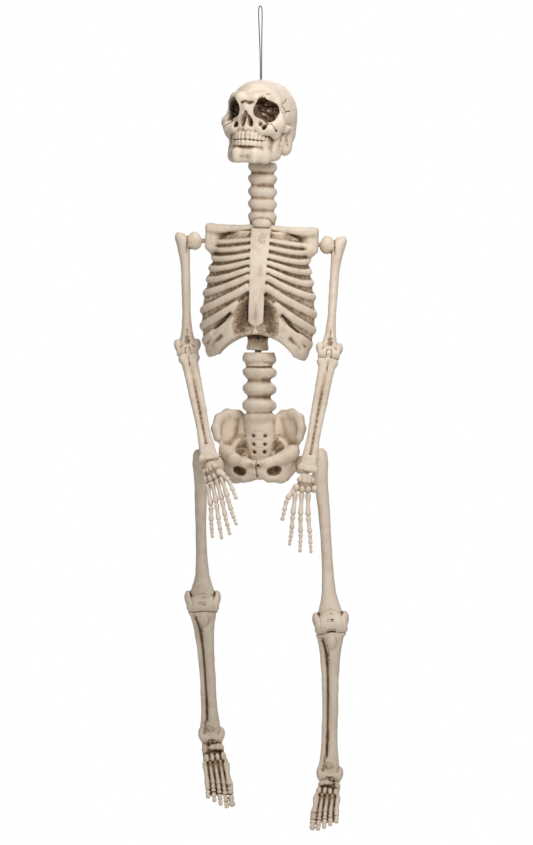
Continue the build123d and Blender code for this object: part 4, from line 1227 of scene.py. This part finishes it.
def sculpt_pelvis(material):
    place = Matrix.Translation(PELVIS_AT) @ turn(z=PELVIS_YAW)
    clay = Clay("pelvis", (-60, -31, -157), (60, 30, 3), 0.95, place)
    low, high = clay.low + 1, clay.low + clay.step * np.array(clay.d.shape) - 1
    half = [*WING, *SEAT]
    whole = [*half, *[(-x, z) for x, z in reversed(half)]]

    def wall(x, y, z):
        ring = np.sqrt(x * x + (y - BOWL["centre"]) ** 2) - BOWL["r"]
        flare = curve(z, [-155, -128, -95, -66], [0.0, 1.0, 0.0, -3.0])
        thick = curve(z, [-155, -130, -100, -78, -66], [5.5, 6.0, 4.6, 3.8, 3.6])
        return -smooth_min(-(np.abs(ring - flare) - thick), -outline_gap(x, z, whole), 3.0)

    clay.add((wall, low, high), 1)
    floor = [(-98, 26, 9, 0, 9), (-114, 38, 17, 0, 3), (-130, 42, 23, 0, -1), (-152, 35, 20, 0, -3)]
    shell = lofted(floor, 6)
    clay.add((lambda x, y, z: np.maximum(shell[0](x, y, z), outline_gap(x, z, whole) + 0 * y), shell[1], shell[2]), 9)
    clay.cut(blob((0, -12, -120), (25, 14, 19)), 8)

    def fossa(x, y, z):
        """Shallow dish in the front of each wing."""
        dish = np.exp(-(((np.abs(x) - 36) / 11) ** 2) - ((z + 93) / 13) ** 2)
        return 2.4 * dish * (y < BOWL["centre"] + np.sqrt(BOWL["r"] ** 2 - x * x))

    clay.press(fossa, low, high)
    for s in (-1, 1):
        crest = [(s * 15, bowl_y(15) - 1, -82), (s * 27, bowl_y(27) - 1, -73), (s * 39, bowl_y(39) - 1, -71.5)]
        crest += [(s * 49, bowl_y(49) - 2, -77.5), (s * 52, bowl_y(50) - 6, -90), (s * 49.5, bowl_y(48) - 9, -101)]
        clay.chain(crest, (4.6, 4.6, 4.8, 4.8, 4.6, 4.6), 4)
        clay.add(blob((s * 17, 8, -88), (9, 7, 15), turn(y=-s * 12)), 6)
        ramus = [(s * 41, -2, -118), (s * 29, -17, -126), (s * 15, -23, -131), (s * 4, -25.5, -134)]
        clay.chain(ramus, (8.5, 6.0, 5.2, 5.2), 5)
        lower = [(s * 37, 2, -138), (s * 27, -8, -149), (s * 15, -18, -148.5), (s * 5, -24, -141)]
        clay.chain(lower, (7.2, 6.0, 5.2, 4.8), 4)
        clay.add(blob((s * 21, -8, -140), (14, 8, 9)), 3)
        hole = blob((s * 21, -21, -141), (9.4, 7, 6.0), turn(y=-s * 12, z=s * 35))
        clay.cut(hole, 2)
        clay.pit(blob((s * 21, -14, -141), (11, 9, 7), turn(y=-s * 12)), 0.5, 1.8, seed=71)
        clay.cut(blob((s * 22 + 1, -6, -110), (8.5, 9, 15), turn(y=s * 8)), 3)
        clay.pit(blob((s * 22 + 1, 0, -110), (9, 11, 15), turn(y=s * 8)), 0.5, 2.0, seed=72)
    clay.add(blob((0, -24.5, -137.5), (6.0, 4.6, 8.5)), 3)
    clay.score([(0.6, -127), (0, -136), (1.0, -148)], 0.9, 1.6)

    sacrum = [(-72, 16, 12, 0, 2), (-86, 17, 11, 0, 1), (-104, 14.5, 9, 1, 1), (-122, 12, 7.5, 1, 1), (-134, 9, 6, 1, 2)]
    clay.add(lofted(sacrum), 4)
    for row, height in enumerate((-99, -109.3, -118.5)):
        for x in (-6.6 + row * 0.4, 8.6 - row * 0.5):
            clay.cut(blob((x, -9.5 + 1.2 * row, height), (3.0, 4.6, 2.8)), 1.8)
            clay.stain(blob((x, -9 + 1.2 * row, height), (3.4, 6, 3.2)), 0.12)
        clay.score([(-5, height + 4.8), (8, height + 4.8)], 1.0, 0.5, "front", 4)
    clay.add(blob((0, 0, -76), (17, 13, 7)), 5)
    ringed(clay, (0, 0), LUMBAR_CRESTS, 19.2, 13.4)
    for k, (x, y) in enumerate(((14.5, 5), (15.5, 3), (15, 1), (16, -1))):
        height = LUMBAR_CRESTS[k] - 2
        clay.add(blob((x, y, height), (5.2, 4.6, 4.6)), 3)
        clay.add(blob((-x, y + 3, height), (4.0, 4.4, 4.2)), 3)
    clay.press(lambda x, y, z: 0.3 * rough(x, y, z, 9, 74), low, high)
    clay.pit(blob((12, -10, -30), (8, 9, 34)), 0.3, 2.0, seed=75)

    for side, s in SIDES.items():
        hip = Vector(clay.local(joint_at(f"{side}_hip_swing")))
        outward = place.to_3x3().inverted() @ Vector((s, 0, 0))
        clay.add(drum(hip - outward * 9, hip - outward * 27, 10.8, 2), 3)
        clay.cut(blob(hip, (12.7, 12.7, 12.7)), 0.4)
        clay.cut(drum(hip, hip + outward * 30, 20), 0.8)
        stem_bore(clay, joint_at(f"{side}_hip_swing"), (-s, 0, 0), BALL["hip"], 24.6)
    clay.add(drum((0, 0, -0.2), (0, 0, -16), 16.5, 2.4), 1)
    seat(clay, joint_at("waist_bend"), (0, 0, 1), (1, 0, 0), -12, 12, BALL["waist"], 26)
    return clay.piece("pelvis", material)


# ---- stage and light ----------------------------------------------------------------------------
def add_stage():
    material, tree, shader = new_material("studio_floor")
    object_place = tree.nodes.new("ShaderNodeTexCoord").outputs["Object"]
    shade = ramp(tree, noise(tree, object_place, 3, 2), [(0.3, srgb(240, 239, 237)), (0.7, srgb(232, 231, 229))])
    tree.links.new(shade, shader.inputs["Base Color"])
    shader.inputs["Roughness"].default_value = 0.9
    half, height = 2.4, -1.12
    corners = np.array([(-half, -half, height), (half, -half, height), (half, half, height), (-half, half, height)])
    floor = mesh_object("studio_floor", corners, np.array([[0, 1, 2, 3]]))
    floor.data.materials.append(material)


def add_light(name, place, target, size, power, color=(1, 1, 1)):
    data = bpy.data.lights.new(name, "AREA")
    data.shape, data.size, data.energy, data.color = "DISK", size, power, color
    light = bpy.data.objects.new(name, data)
    light.location = place
    light.rotation_euler = (Vector(target) - Vector(place)).to_track_quat("-Z", "Y").to_euler()
    bpy.context.scene.collection.objects.link(light)


def add_world():
    """White surroundings for the camera, and a dimmer even glow on the figure."""
    world = bpy.data.worlds.new("studio")
    bpy.context.scene.world = world
    world.use_nodes = True
    tree = world.node_tree
    background = next(n for n in tree.nodes if n.type == "BACKGROUND")
    seen = tree.nodes.new("ShaderNodeLightPath").outputs["Is Camera Ray"]
    background.inputs["Color"].default_value = (1, 1, 1, 1)
    tree.links.new(calc(tree, "MULTIPLY_ADD", seen, 0.82, 0.18), background.inputs["Strength"])


# ---- the figure ---------------------------------------------------------------------------------
def main():
    bpy.context.scene.view_settings.view_transform = "Standard"
    add_camera()
    loop = add_cord()
    loop.data.materials.append(moulded("waxed_cord", srgb(92, 76, 60), srgb(46, 36, 28), 260, 0.6, 0.6))

    bone = antiqued("antiqued_bone", CREAM, TAN, BROWN, DARK)
    # The skull's copy is painted light: a paler cream and a lighter offset, as the skull is the part nearest the light
    # at the top.
    lit_skull_bone = antiqued("antiqued_skull_painted_lit", srgb(241, 225, 206), TAN, BROWN, DARK, -0.03)
    peg = moulded("peg_plastic", srgb(206, 186, 160), srgb(150, 126, 100), 60, 0.5)
    toggle = moulded("toggle_plastic", srgb(70, 60, 52), srgb(40, 34, 30), 120, 0.45)
    for name, node in frame["nodes"].items():
        if name.endswith(("_peg", "_pin")) or name == "cord_stopper":
            node.data.materials.clear()
            node.data.materials.append(toggle if name == "cord_stopper" else peg)

    sculpt_skull(lit_skull_bone)
    sculpt_rib_cage(bone)
    sculpt_pelvis(bone)
    for side in SIDES:
        for sculpt in (sculpt_upper_arm, sculpt_forearm, sculpt_hand, sculpt_thigh, sculpt_lower_leg, sculpt_foot):
            sculpt(side, bone)

    add_stage()
    add_light("key", (0.5, -1.35, 0.5), (0, 0, -0.3), 0.8, 16.5)
    add_light("fill", (-1.3, -1.9, -0.2), (0, 0, -0.5), 1.2, 6)
    add_light("top", (0.1, -0.25, 0.95), (0, 0, -0.3), 0.7, 5)
    add_light("back", (0.5, 2.4, 0.6), (0, 0, -0.4), 1.6, 16)
    add_world()


main()
bpy.context.view_layer.update()
